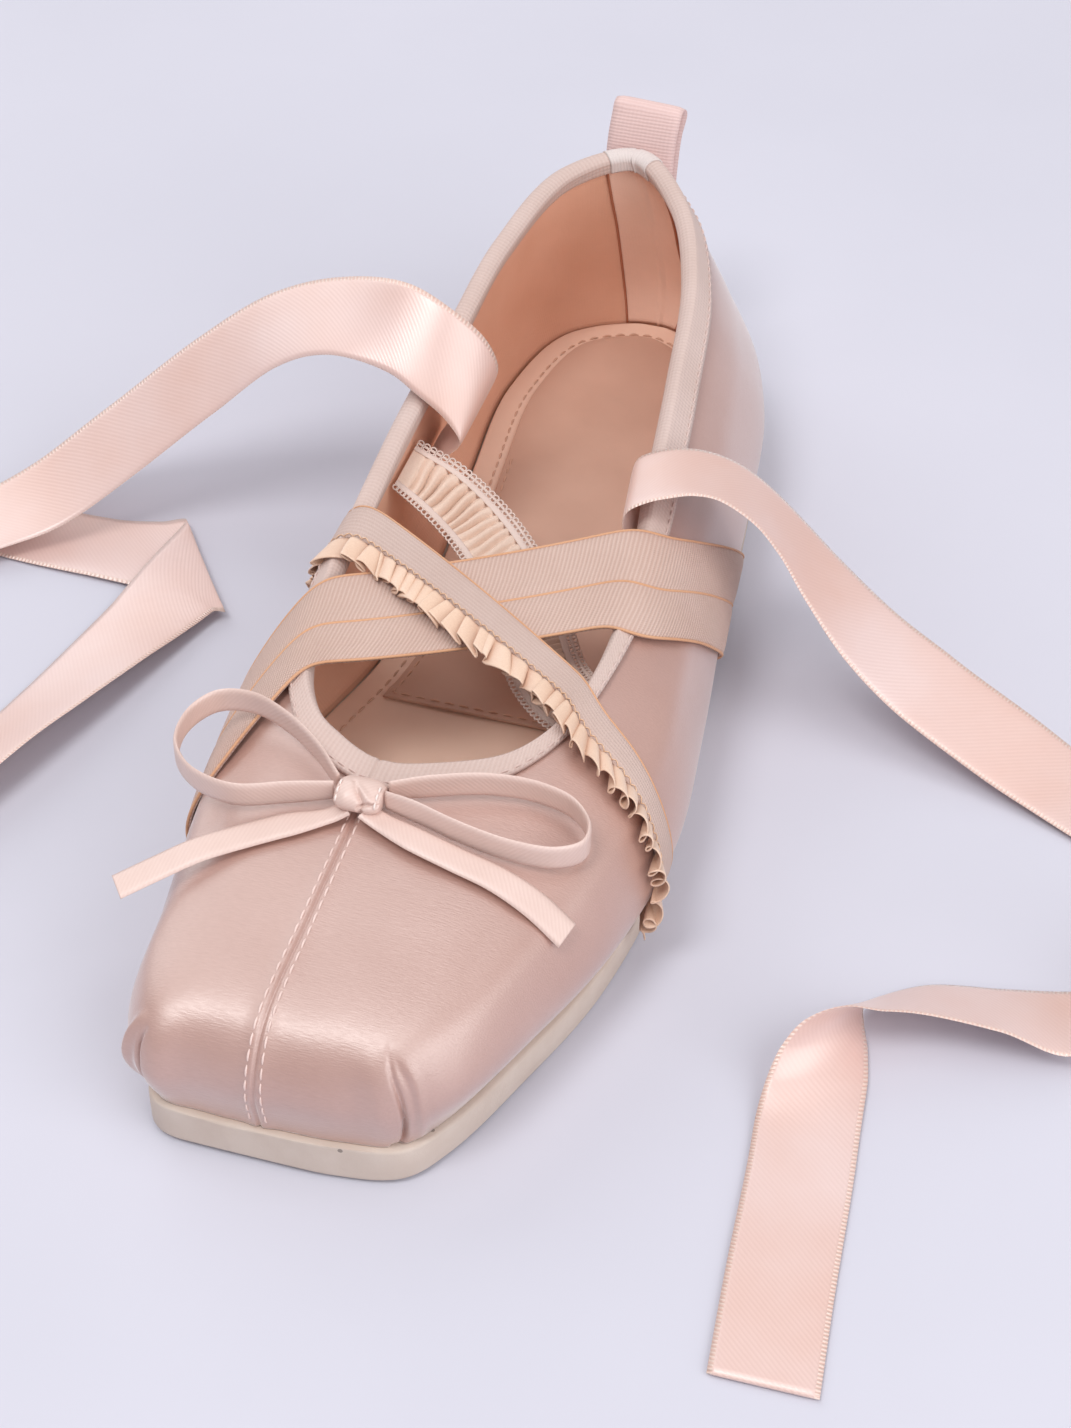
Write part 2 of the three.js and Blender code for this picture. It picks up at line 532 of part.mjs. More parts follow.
// Where the binding's lower edge lies: its width below the topline, measured along the wall
function bindingLow(row) {
  let length = 0;
  let above = lastPoint(row, 1);
  for (let k = BINDING_STEPS - 1; k >= 0; k -= 1) {
    const below = lastPoint(row, k / BINDING_STEPS);
    length += below.distanceTo(above);
    if (length >= BINDING_WIDTH) return k / BINDING_STEPS;
    above = below;
  }
  return 0;
}

// Direction in which the wall runs on past the topline
function edgeRise(row) {
  return lastPoint(row, 1).sub(lastPoint(row, 1 - NEAR_EDGE)).normalize();
}

// Tape folded over the topline, a U whose legs lie outside and inside the wall
function bindingGeometry() {
  const far = GAP + BINDING_THICK;
  const rings = rowSamples().map((row) => {
    const low = bindingLow(row);
    const edge = offsetPoint(row, 1, 0);
    const out = lastNormal(row, 1);
    const rise = edgeRise(row);
    const over = (side, up) => edge.clone().addScaledVector(out, side).addScaledVector(rise, up);
    const round = BINDING_ROUND * BINDING_THICK;
    return [
      offsetPoint(row, low, GAP),
      offsetPoint(row, low, far),
      offsetPoint(row, 1, far),
      over(GAP + round, far),
      over(-WALL - GAP - round, far),
      offsetPoint(row, 1, -WALL - far),
      offsetPoint(row, low, -WALL - far),
      offsetPoint(row, low, -WALL - GAP),
      over(-WALL - GAP, GAP),
      over(GAP, GAP),
    ];
  });
  return loft(rings, true);
}

// Place of a strap's edge round the shoe at a height on the wall
function strapRow({ feather, swelling, shoulder, crown, topline }, up) {
  const places = [feather, swelling, shoulder, crown, topline];
  const at = up * (places.length - 1);
  const k = Math.min(Math.floor(at), places.length - 2);
  return lerp(places[k], places[k + 1], at - k);
}

// One line of a strap from the sole up the wall and over the binding
function strapWall(back, front, across, ups) {
  const line = ups.map((up) => {
    const row = lerp(strapRow(back, up), strapRow(front, up), across);
    const climb = smooth(clamp((up - bindingLow(row) + STRAP_CLIMB.ahead) / STRAP_CLIMB.length, 0, 1));
    return offsetPoint(row, up, lerp(STRAP_LIFT, STRAP_CLEAR, climb));
  });
  const row = lerp(back.topline, front.topline, across);
  const edge = offsetPoint(row, 1, 0);
  const out = lastNormal(row, 1);
  const rise = edgeRise(row);
  const over = (side, up) => edge.clone().addScaledVector(out, side).addScaledVector(rise, up);
  line.push(over(STRAP_TURN.outside * STRAP_CLEAR, STRAP_CLEAR));
  line.push(over(-STRAP_TURN.inside * STRAP_CLEAR, STRAP_CLEAR + GAP));
  return line;
}

// Underside of a strap: for each place across it, its points from the lateral sole to the medial sole
function strapGrid(strap, acrosses, steps) {
  const ups = Array.from({ length: steps.wall }, (_, k) => lerp(STRAP_FOOT, 1, k / (steps.wall - 1)));
  return acrosses.map((across) => {
    const lateral = strapWall(strap.lateralBack, strap.lateralFront, across, ups);
    const medial = strapWall(strap.medialBack, strap.medialFront, across, ups).reverse();
    const from = lateral[lateral.length - 1];
    const to = medial[0];
    const bridge = [];
    for (let k = 1; k < steps.bridge; k += 1) {
      const w = k / steps.bridge;
      const p = from.clone().lerp(to, w);
      p.z += strap.arch * 4 * w * (1 - w);
      bridge.push(p);
    }
    return [...lateral, ...bridge, ...medial];
  });
}

// Upward or outward direction of a strap's underside at one of its points
function gridNormal(grid, a, s) {
  const along = grid[a][Math.min(s + 1, grid[a].length - 1)].clone().sub(grid[a][Math.max(s - 1, 0)]);
  const across = grid[Math.min(a + 1, grid.length - 1)][s].clone().sub(grid[Math.max(a - 1, 0)][s]);
  return along.cross(across).normalize();
}

// Elastic strap with an optional raised line along its middle
function strapGeometry(strap, acrosses, ridge) {
  const grid = strapGrid(strap, acrosses, STRAP_STEPS);
  const middle = (acrosses.length - 1) / 2;
  const rings = grid[0].map((_, s) => {
    const under = grid.map((line) => line[s]);
    const over = grid.map((line, a) => {
      const thick = STRAP_THICK + (a === middle ? ridge : 0);
      return line[s].clone().addScaledVector(gridNormal(grid, a, s), thick);
    });
    return [...under, ...over.reverse()];
  });
  return loft(rings, false);
}

// Gathered edging that hangs from the front edge of a strap and waves up and down along it
function frillGeometry(strap) {
  const grid = strapGrid(strap, [0, 1], FRILL_STEPS);
  const [back, front] = grid;
  const lift = GAP / 2;
  let length = 0;
  const rings = front.map((root, s) => {
    if (s > 0) length += root.distanceTo(front[s - 1]);
    const up = gridNormal(grid, 1, s);
    const out = root.clone().sub(back[s]).normalize();
    const wave = (FRILL_WAVE / 2) * (1 + Math.sin((2 * Math.PI * length) / FRILL_PITCH));
    const base = root.clone().addScaledVector(out, 2 * GAP).addScaledVector(up, lift + GAP * wave);
    const tip = root.clone().addScaledVector(out, FRILL_WIDTH).addScaledVector(up, lift + wave);
    return [
      base,
      tip,
      tip.clone().addScaledVector(up, FRILL_THICK),
      base.clone().addScaledVector(up, FRILL_THICK),
    ];
  });
  return loft(rings, false);
}

// Flat tape or cord along its rows, with an optional wave square to its face
function tape(rows, thick, stepsPerRow, wave = { height: 0, pitch: 1 }) {
  const points = rows.map(({ at }) => new THREE.Vector3(...at));
  const halves = rows.map(({ half }) => new THREE.Vector3(...half));
  const centre = new THREE.CatmullRomCurve3(points, false, 'centripetal');
  const spans = rows.length - 1;
  const steps = spans * stepsPerRow;
  let length = 0;
  let before = points[0];
  const rings = Array.from({ length: steps + 1 }, (_, k) => {
    const t = k / steps;
    const span = Math.min(Math.floor(t * spans), spans - 1);
    const half = halves[span].clone().lerp(halves[span + 1], t * spans - span);
    const face = centre.getTangent(t).cross(half).normalize();
    const middle = centre.getPoint(t);
    length += middle.distanceTo(before);
    before = middle.clone();
    middle.addScaledVector(face, wave.height * Math.sin((2 * Math.PI * length) / wave.pitch));
    const corner = (side, level) =>
      middle.clone().addScaledVector(half, side).addScaledVector(face, (level * thick) / 2);
    return [corner(-1, -1), corner(1, -1), corner(1, 1), corner(-1, 1)];
  });
  return loft(rings, false);
}

function knotGeometry() {
  const rings = KNOT_ROWS.map(({ across, depth, height }) =>
    Array.from({ length: KNOT_SIDES }, (_, k) => {
      const angle = (2 * Math.PI * k) / KNOT_SIDES;
      return new THREE.Vector3(
        KNOT_AT[0] + across,
        KNOT_AT[1] + depth * Math.cos(angle),
        KNOT_AT[2] + height * Math.sin(angle),
      );
    }),
  );
  return loft(rings, false);
}

function pullLoopGeometry() {
  const top = lastPoint(HEEL_ROW, 1);
  const rows = PULL_LOOP_ROWS.map(({ at, half }) => ({
    at: [top.x + at[0], top.y + at[1], top.z + at[2]],
    half,
  }));
  return tape(rows, PULL_LOOP_THICK, TAPE_STEPS);
}

const sockBottom = (y) => insoleTop(y) + GAP;
const sockTop = (y) => sockBottom(y) + SOCK_THICK;
const soleGeometry = plate(SOLE_LEDGE, -Infinity, soleBottom, soleTop, SOLE_CHAMFER);
const insoleGeometry = plate(-WALL - GAP, -Infinity, insoleBottom, insoleTop, GAP);
const sockGeometry = plate(-WALL - GAP - SOCK_INSET, SOCK_FRONT, sockBottom, sockTop, GAP);

const shoe = new THREE.Group();
shoe.position.set(-CENTRE_ACROSS, -CENTRE_ALONG, 0);

function addPart(name, geometry, color, roughness) {
  const material = new THREE.MeshStandardMaterial({ color, roughness, metalness: 0 });
  const mesh = new THREE.Mesh(geometry, material);
  mesh.name = name;
  shoe.add(mesh);
}

addPart('outsole', soleGeometry, 0xbeb2a5, 0.85);
addPart('insole', insoleGeometry, 0xc8a087, 0.7);
addPart('heel_sock', sockGeometry, 0xc49a80, 0.7);
addPart('upper', upperGeometry(), 0xdebeb2, 0.35);
addPart('topline_binding', bindingGeometry(), 0xe1d0c6, 0.8);
addPart('pull_loop', pullLoopGeometry(), 0xebc8c3, 0.7);
addPart('cross_strap_wide', strapGeometry(WIDE_STRAP, [0, 0.25, 0.5, 0.75, 1], STRAP_RIDGE), 0xdec3b2, 0.8);
addPart('cross_strap_narrow', strapGeometry(NARROW_STRAP, [0, 0.5, 1], 0), 0xdec3b2, 0.8);
addPart('strap_frill', frillGeometry(NARROW_STRAP), 0xe6d0b4, 0.5);
const laceWave = { height: LACE_WAVE, pitch: LACE_PITCH };
addPart('lace_band', tape(LACE_ROWS, LACE_THICK, LACE_STEPS, laceWave), 0xebded7, 0.7);
addPart('bow_knot', knotGeometry(), 0xe2c4ba, 0.4);
addPart('bow_loop_left', tape(LEFT_LOOP_ROWS, BOW_CORD_THICK, TAPE_STEPS), 0xe2c4ba, 0.4);
addPart('bow_loop_right', tape(RIGHT_LOOP_ROWS, BOW_CORD_THICK, TAPE_STEPS), 0xe2c4ba, 0.4);
addPart('bow_tail_left', tape(LEFT_TAIL_ROWS, BOW_CORD_THICK, TAPE_STEPS), 0xe2c4ba, 0.4);
addPart('bow_tail_right', tape(RIGHT_TAIL_ROWS, BOW_CORD_THICK, TAPE_STEPS), 0xe2c4ba, 0.4);
addPart('ribbon_left', tape(LEFT_RIBBON_ROWS, RIBBON_THICK, TAPE_STEPS), 0xebd0c6, 0.35);
addPart('ribbon_right', tape(RIGHT_RIBBON_ROWS, RIBBON_THICK, TAPE_STEPS), 0xebd0c6, 0.35);

const model = new THREE.Group();
model.add(shoe);
export default model;
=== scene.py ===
# Looks of a lace-up ballet flat, a left shoe with a square toe, crossed straps, a bow and tie ribbons.
# The tables are in millimetres: x to the lateral side, y from the toe to the heel, z up from the floor.
import math

import bpy
import numpy as np
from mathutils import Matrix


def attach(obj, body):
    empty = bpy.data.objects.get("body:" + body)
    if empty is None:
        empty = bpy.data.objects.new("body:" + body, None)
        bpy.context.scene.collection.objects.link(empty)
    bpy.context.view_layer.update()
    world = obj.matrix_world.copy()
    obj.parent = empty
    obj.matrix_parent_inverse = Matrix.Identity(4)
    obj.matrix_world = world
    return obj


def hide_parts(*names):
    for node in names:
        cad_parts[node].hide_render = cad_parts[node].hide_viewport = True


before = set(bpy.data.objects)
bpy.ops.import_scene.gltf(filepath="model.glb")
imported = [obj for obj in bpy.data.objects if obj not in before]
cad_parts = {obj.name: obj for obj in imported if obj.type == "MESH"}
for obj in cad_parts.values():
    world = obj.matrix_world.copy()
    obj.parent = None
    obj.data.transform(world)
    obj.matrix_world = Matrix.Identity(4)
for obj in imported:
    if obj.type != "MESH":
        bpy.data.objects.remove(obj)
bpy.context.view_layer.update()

MM = 0.001
ORIGIN = np.array([3.7, 126.4, 0.0])
RANDOM = np.random.default_rng(7)

# Driving dimensions of the last
LENGTH = 250.0
BALL_WIDTH = 87.0
BACK_HEIGHT = 54.0

# Wall and sole
WALL = 1.6
GAP = 0.3
TOUCH = 0.02
SOLE_LEDGE = 1.3
SOLE_ROUND = 0.7
BULGE_RISE = 9.5
CROWN = 1.0
CROWN_AT = 0.38
INSOLE_THICK = 1.8
INSOLE_ROUND = 0.5
SOCK_THICK = 0.8
SOCK_ROUND = 0.25
SOCK_INSET = 6.5
SOCK_FRONT = 107.0

# Seam down the vamp, by the section where it lies at the toe's foot and at the throat
SEAM_ROW = (-0.03, -0.11)
SEAM_PUFF = 0.45
SEAM_SPREAD = 2.3
SEAM_GROOVE = 0.5
SEAM_GROOVE_SPREAD = 0.4
SEAM_STITCHES_OFF = (1.5, 1.1)
HEEL_SEAM_GROOVE = 0.4

# Folds of the satin: the spread in mm, then the section, the place up the wall and the height in mm
FOLDS = {
    "lateral crease": (0.5, [
        (1.68, 0.53, 0), (1.83, 0.42, -0.4), (1.99, 0.31, -0.9), (2.10, 0.16, -1.5),
        (2.09, 0.07, -1.6), (2.03, 0.02, -1.3), (1.87, 0, -0.7),
    ]),
    "lateral corner": (2.6, [
        (1.40, 0.50, 0), (1.58, 0.38, 0.4), (1.70, 0.25, 0.5), (1.78, 0.12, 0.5), (1.70, 0.02, 0.2),
    ]),
    "lateral groove": (0.8, [
        (1.74, 0.52, 0), (1.95, 0.44, -0.25), (2.14, 0.36, -0.3), (2.26, 0.24, -0.3), (2.33, 0.12, -0.2),
        (2.36, 0.05, 0),
    ]),
    "lateral lip": (1.2, [
        (1.90, 0.50, 0), (2.12, 0.43, 0.2), (2.30, 0.33, 0.35), (2.40, 0.22, 0.5), (2.46, 0.10, 0.6),
        (2.46, 0.03, 0.4), (2.44, 0, 0),
    ]),
    "medial crease": (0.45, [
        (-1.93, 0.44, 0), (-2.05, 0.39, -0.6), (-2.09, 0.33, -1.3), (-2.06, 0.26, -1.6),
        (-2.03, 0.19, -1.6), (-2.05, 0.11, -1.2), (-2.00, 0.04, -0.4), (-1.95, 0.01, 0),
    ]),
    "medial corner": (2.6, [
        (-1.50, 0.50, 0), (-1.68, 0.38, 0.4), (-1.73, 0.25, 0.5), (-1.73, 0.12, 0.5), (-1.65, 0.02, 0.2),
    ]),
    "medial lip": (1.0, [
        (-2.10, 0.48, 0), (-2.30, 0.41, 0.7), (-2.42, 0.33, 1.3), (-2.47, 0.25, 1.5), (-2.46, 0.17, 1.3),
        (-2.40, 0.09, 0.6), (-2.34, 0.03, 0),
    ]),
    "front": (6.0, [
        (-1.3, 0.27, 0), (-0.9, 0.27, 0.5), (0, 0.28, 0.7), (0.9, 0.27, 0.5), (1.3, 0.27, 0),
    ]),
}

# Trim
BINDING_THICK = 1.0
BINDING_WIDTH = 5.2
BINDING_INNER_WIDTH = 2.4
STRAP_THICK = 1.0
STRAP_LIFT = 0.6
STRAP_FOOT = 0.02
STRAP_CLEAR = GAP + BINDING_THICK + 0.4
STRAP_CLIMB = {"ahead": 0.34, "length": 0.32}
STRAP_TURN = {"outside": 0.75, "inside": 0.5, "over": 0.9}
STRAP_SOFT = 4.2
FRILL_WIDTH = 6.3
PULL_LOOP_THICK = 0.9

# Stitches: length, gap and radius of the thread
SEAM_STITCH = (2.2, 0.6, 0.22)
BINDING_STITCH = (1.9, 0.7, 0.22)
INSOLE_STITCH = (2.1, 1.0, 0.25)
SOCK_STITCH = (2.0, 1.0, 0.22)
PULL_STITCH = (1.8, 0.6, 0.22)
KNOT_STITCH = (1.35, 0.35, 0.22)

# Ties and the bow's cords: points along and across, thickness in mm, width and lengths in metres
RIBBON = {"grid": (420, 15), "thick": 0.4, "width": 0.0186, "slot": "tie_ribbon", "stiffness": "limp"}
BOW_CORD = {"grid": (160, 9), "thick": 0.8, "width": 0.0054, "slot": "bow_cord", "stiffness": "medium"}
LEFT_RIBBON_LENGTH = 0.437
RIGHT_RIBBON_LENGTH = 0.348
BOW_LOOP_LENGTH = 0.080
BOW_TAIL_LENGTH = 0.0425

# Sole heights in mm, with along in per cent of the length
SOLE_COLUMNS = ("along", "bottom", "top")
SOLE_ROWS = [
    (-1, 0.9, 8.5),
    (8, 0.4, 7.6),
    (17, 0, 7),
    (43, 0, 7),
    (59, 2.4, 8.2),
    (74, 0, 9.3),
    (95, 0, 9.5),
    (100, 1.2, 9.5),
]

# Sections round the shoe, from the toe's middle by the lateral side to the heel and back: across in per cent
# of the ball width, along in per cent of the length, flare in mm, how far in and up the shoulder lies on the
# way from the swelling to the topline, and the topline in per cent of the ball width, length and back height
SECTION_COLUMNS = (
    "across", "along", "flare", "ridge_in", "ridge_up", "top_across", "top_along", "top_height",
)
SECTION_ROWS = [
    (-5.7, -0.2, 0.4, 0.09, 0.52, -4, 24.4, 69),
    (9.2, 0, 0.4, 0.09, 0.52, 10.3, 25.7, 69.8),
    (21.8, 1, 0.8, 0.07, 0.47, 19.5, 27.3, 70.7),
    (27.8, 3.8, 3.5, 0.10, 0.45, 25, 29.6, 71.7),
    (37.7, 12.6, 4.3, 0.14, 0.50, 29, 33, 73),
    (44.8, 20.6, 4.6, 0.17, 0.55, 31.3, 37.6, 74.8),
    (48.5, 31.2, 5, 0.20, 0.56, 32, 43.2, 76.7),
    (46.6, 42.4, 4.2, 0.22, 0.55, 30.8, 49.6, 78.9),
    (42.8, 56, 3.2, 0.25, 0.50, 28, 57.2, 82.2),
    (39.1, 70, 3, 0.28, 0.50, 23.2, 70.4, 87.8),
    (33.6, 83, 3, 0.34, 0.48, 17.9, 82.4, 94),
    (21.8, 92.8, 2.6, 0.38, 0.46, 7.6, 92, 98.5),
    (-0.6, 97.7, 2.8, 0.35, 0.46, -8.3, 98, 100),
    (-23.6, 94.2, 3.2, 0.20, 0.50, -23.9, 93.8, 98.7),
    (-32.4, 84.4, 3.6, 0.15, 0.50, -31.3, 83, 94.4),
    (-31, 72, 4.4, 0.10, 0.50, -33.1, 72.4, 88.5),
    (-27.6, 59.2, 7, 0.10, 0.50, -34.7, 60.4, 82.2),
    (-30.5, 47.2, 6.5, 0.12, 0.52, -34.7, 51.2, 77.4),
    (-38.5, 36, 5.6, 0.12, 0.55, -33.9, 43.2, 74.4),
    (-40, 27.2, 4, 0.15, 0.55, -32.2, 37.6, 73),
    (-38, 18.4, 4, 0.14, 0.52, -29.7, 33.2, 72),
    (-34.6, 9.6, 3.8, 0.12, 0.47, -26, 30, 71.3),
    (-31.4, 3, 4.3, 0.09, 0.45, -20.9, 27.4, 70.7),
    (-28, 0.3, 2.8, 0.08, 0.47, -15.2, 26, 70),
    (-17.2, -0.2, 0.4, 0.09, 0.52, -9.8, 25, 69.4),
]
ROUND = len(SECTION_ROWS)
HEEL_ROW = 12

# Straps: the place of each edge, in sections, at the feather edge, swelling, shoulder, crown and topline
WIDE_STRAP = {
    "lateral_back": (8.8, 8.55, 8.13, 7.85, 7.3),
    "lateral_front": (7.95, 7.7, 7.22, 6.75, 5.65),
    "medial_back": (18.6, 18.6, 18.5, 18.45, 18.4),
    "medial_front": (19.6, 19.75, 20.0, 20.15, 20.45),
    "arch": -1.2, "columns": 33, "bands": 2, "piping": (0.0, 0.5, 1.0), "piping_radius": 0.28,
}
NARROW_STRAP = {
    "lateral_back": (5.85, 5.8, 5.67, 5.43, 4.5),
    "lateral_front": (5.62, 5.58, 5.46, 5.15, 3.95),
    "medial_back": (16.45, 16.55, 16.75, 16.95, 17.25),
    "medial_front": (16.8, 16.9, 17.1, 17.3, 17.68),
    "arch": 1.5, "columns": 13, "bands": 1, "piping": (0.0,), "piping_radius": 0.22,
}

# Tapes and cords: a point on the centre line, then the vector from it to one edge
LACE_ROWS = [
    (-28.2, 146, 36.6, 0.2, 7.9, 0.4),
    (-20, 143.6, 34, 2.6, 7.4, 0.6),
    (-10, 138, 30.5, 4, 6.9, 0.4),
    (0, 127.5, 28.4, 5.4, 5.9, 0),
    (8.5, 113, 28, 6.4, 4.8, 0),
    (15.5, 101, 28.6, 6, 5.2, 0.2),
    (23, 93, 30.5, 4.4, 6.7, 0.4),
    (30, 89.6, 31.6, 2.4, 7.5, 0.4),
    (35.9, 87.4, 32.2, 0.9, 7.9, 0.3),
]
LEFT_LOOP_ROWS = [
    (-8.7, 52.6, 40.2, 0, 0, 2.2),
    (-14, 57.3, 41.6, 0, 0, 2.7),
    (-22, 62.3, 42.6, 0, 0, 2.7),
    (-30, 65.5, 42.2, 0, 0, 2.7),
    (-36.5, 64.8, 41.2, 0, 0, 2.7),
    (-40, 59.5, 40.3, 0, 0, 2.7),
    (-39.6, 52.8, 39.5, 0, 0, 2.7),
    (-34.8, 47.6, 39, 0, 0, 2.7),
    (-26, 45.4, 39, 0, 0, 2.7),
    (-17, 48.2, 39.3, 0, 0, 2.7),
    (-8.8, 50.6, 40, 0, 0, 2.2),
]
RIGHT_LOOP_ROWS = [
    (0.6, 53, 40.2, 0, 0, 2.2),
    (8, 55.6, 41, 0, 0, 2.7),
    (17, 58.4, 41.4, 0, 0, 2.7),
    (26, 60, 40.4, 0, 0, 2.7),
    (32.6, 59.4, 38.8, 0, 0, 2.7),
    (36.2, 56.4, 37.2, 0, 0, 2.7),
    (36.4, 52.4, 36.5, 0, 0, 2.7),
    (32.5, 48.8, 36.9, 0, 0, 2.7),
    (24.5, 47, 38.2, 0, 0, 2.7),
    (15, 47.8, 39.2, 0, 0, 2.7),
    (7, 49.6, 39.8, 0, 0, 2.7),
    (0.8, 50.9, 39.9, 0, 0, 2.2),
]
LEFT_TAIL_ROWS = [
    (-5.6, 48.6, 38.4, -0.9, 1.5, 0.2),
    (-8.4, 46.9, 37.2, -0.9, 1.5, 0.2),
    (-15, 43.4, 36.4, -1.6, 2.1, 0.3),
    (-21.8, 39.4, 35.4, -1.7, 2.1, 0.3),
    (-28.6, 34.6, 34.6, -1.7, 2.1, 0.3),
    (-34.8, 29.4, 33, -1.7, 2.1, 0.3),
    (-40, 24.5, 31.8, -1.7, 2.1, 0.3),
]
RIGHT_TAIL_ROWS = [
    (-2.2, 48.4, 38.6, 0.9, 1.8, 0),
    (0.8, 47.6, 37.8, 0.9, 2, 0),
    (8, 45.2, 37.6, 0.9, 2.6, 0.1),
    (16, 43.4, 36.8, 0.8, 2.6, 0.2),
    (24, 42, 35.6, 0.8, 2.6, 0.3),
    (31, 40.4, 33.2, 0.8, 2.6, 0.5),
    (37.5, 38.8, 29, 0.8, 2.6, 0.6),
]
LEFT_RIBBON_ROWS = [
    (-29.2, 164, 26, 0, -9.3, 0),
    (-24.8, 163.2, 33, 0, -9.3, -0.5),
    (-19.5, 161.6, 38.6, -0.5, -9.2, -1.4),
    (-17, 160.2, 44, -1.4, -8.6, -3.2),
    (-20, 160.7, 49.5, -2, -7.6, -5),
    (-26.8, 161.4, 54.4, -1.6, -6.8, -6.2),
    (-35, 163.6, 57, 0, -7.1, -6.1),
    (-49.8, 166.8, 54.8, 1.8, -8.4, -3.6),
    (-63.5, 167.4, 48.2, 3.7, -8, -2.9),
    (-79.3, 164, 35, 5.3, -7.1, -2.9),
    (-97.3, 156.5, 19, 5.4, -7, -3),
    (-111.5, 147.3, 8.4, 6.2, -6.7, -1.8),
    (-124, 138, 4.2, 6.6, -6.6, -0.2),
    (-136, 126.5, 2.4, 7, -6.1, 0),
    (-148, 115.5, 1, 6.4, -6.8, 0),
    (-160, 108.5, 0.8, 2.5, -9, 0),
    (-171, 112, 0.8, -6, -7.1, 0),
    (-175.5, 123, 0.8, -9.2, -1.5, 0),
    (-171.5, 134.5, 0.8, -7.9, 5, 0),
    (-161, 142, 0.8, -4, 8.4, 0),
    (-147, 145, 0.8, -1, 9.2, 0),
    (-130, 145, 0.8, 0, 9.3, 0),
    (-112, 143.6, 0.8, 0.3, 9.4, 0),
    (-97, 143.4, 1, -0.5, 9.6, 0),
    (-82.5, 143.6, 1.4, -5.5, 11, 0),
    (-73, 142.4, 2.6, -9.2, 12.7, 0),
    (-75, 134, 3, -9.6, 5.5, 0),
    (-77.5, 124, 2.6, -9.6, 2.4, -0.8),
    (-81, 111.5, 3.2, -9.1, 2.4, -2),
    (-85.5, 95, 4.2, -8.4, 2.6, -3.2),
    (-91, 77, 5, -7.8, 3, -4),
    (-99, 54, 4.6, -8, 3.2, -3.6),
]
RIGHT_RIBBON_ROWS = [
    (33.5, 139.2, 31, 1.1, -9.2, 0),
    (23.5, 139.7, 38.5, 1, -9.2, 0.2),
    (20, 140, 43.2, 1.4, -9.2, 0.4),
    (20.6, 140.5, 46.8, 1.4, -9.2, 0.6),
    (24, 141.4, 49, 1.4, -9.2, 0.8),
    (28.5, 142.6, 50.1, 1.2, -9.2, 1),
    (33.3, 143.8, 50.2, 0.7, -9.2, 1.6),
    (38.8, 144.7, 48.7, 0.2, -9, 2.2),
    (45.4, 145, 44.4, 0.3, -9, 2.4),
    (51.8, 144.5, 38.2, -0.4, -9, 2.4),
    (59, 143.1, 30.3, -1.8, -8.8, 1.6),
    (69.8, 140.2, 20.8, -3.2, -8.7, 0.2),
    (81.8, 137.2, 13.6, -3.5, -8.5, -1.4),
    (98.8, 132.6, 6.6, -3.4, -8.5, -1.6),
    (113, 127.5, 2.6, -3.2, -8.7, -0.6),
    (127, 121, 1, -4.2, -8.3, 0),
    (140, 112, 1.6, -7, -6.1, 0.8),
    (148, 99.5, 4.2, -8.4, -2, 3.2),
    (148.5, 87, 8, -6, 1, 7),
    (143, 77, 9.9, -2, 0, 9),
    (134, 70.5, 8, 0.6, -6, 7),
    (123.2, 67.8, 2.8, 1.2, -9.1, 1.6),
    (110.8, 65.3, 5, 1.2, -8.4, 3.7),
    (97.6, 63, 6.1, 0.4, -8, 4.8),
    (90.8, 59.8, 6.7, 0.1, -7.4, 5.6),
    (85.6, 56.4, 7.6, -1.2, -6.6, 6.5),
    (83.2, 52.6, 6.7, -4.4, -5.9, 5.6),
    (82.5, 48, 4.5, -7, -4.7, 3.4),
    (82.6, 42, 2.4, -8.5, -3.2, 1.2),
    (82.9, 35, 1.2, -9, -2, 0.2),
    (84.2, 22, 0.8, -9.2, -0.6, 0),
    (86, 0, 0.8, -9.3, 0, 0),
    (88.1, -21.2, 0.8, -9.3, -0.2, 0),
]

# Pull loop: its folded path from the middle of the topline at the heel
PULL_LOOP_ROWS = [
    (-0.4, 2.2, -14, 7.7, 0, 0),
    (-0.4, 2.5, -7, 7.7, 0, 0),
    (-0.2, 3.7, 1, 7.7, 0, 0),
    (0.2, 5.2, 6, 7.7, 0, 0),
    (0.4, 6.6, 8.2, 7.7, 0, -0.4),
    (0.6, 8.6, 8.2, 7.7, 0, -0.4),
    (0.8, 9.6, 6, 7.7, 0, 0),
    (0, 8.6, 1, 7.7, 0, 0),
    (-0.3, 6.6, -7, 7.7, 0, 0),
    (-0.4, 5.8, -13, 7.7, 0, 0),
]

# Knot of the bow: its middle and half its size each way
KNOT_AT = np.array([-3.9, 50.8, 39.9])
KNOT_HALF = np.array([4.2, 3.8, 2.4])

# Camera, fitted to the photograph's 1071 by 1428 frame
CAMERA_AT = (0.1262, -0.4108, 0.3922)
CAMERA_TARGET = (0.00945, -0.02613, 0.020)
LENS = 72.25
SENSOR = 36.0

# Lights: name, place, target, size in metres, power in watts and tint
LIGHTS = [
    ("key", (-0.4, -0.85, 1.9), (0.0, -0.05, 0.0), 0.8, 15.5, (1.0, 0.985, 0.97)),
    ("top", (0.0, 0.1, 1.7), (0.0, 0.0, 0.0), 1.2, 5.5, (1.0, 0.99, 0.985)),
    ("right", (1.2, -0.65, 0.85), (0.0, -0.05, 0.0), 1.7, 16.0, (1.0, 0.985, 0.98)),
    ("left", (-1.1, 0.75, 0.85), (0.0, 0.0, 0.0), 1.6, 9.0, (1.0, 0.985, 0.98)),
]
ROOM_LIGHT = (0.97, 0.96, 1.0, 1.0)
ROOM_STRENGTH = 0.38
FLOOR = {"half": 3.0, "dark": (203, 203, 215), "light": (207, 207, 219), "patches": 9.0, "roughness": 0.85}


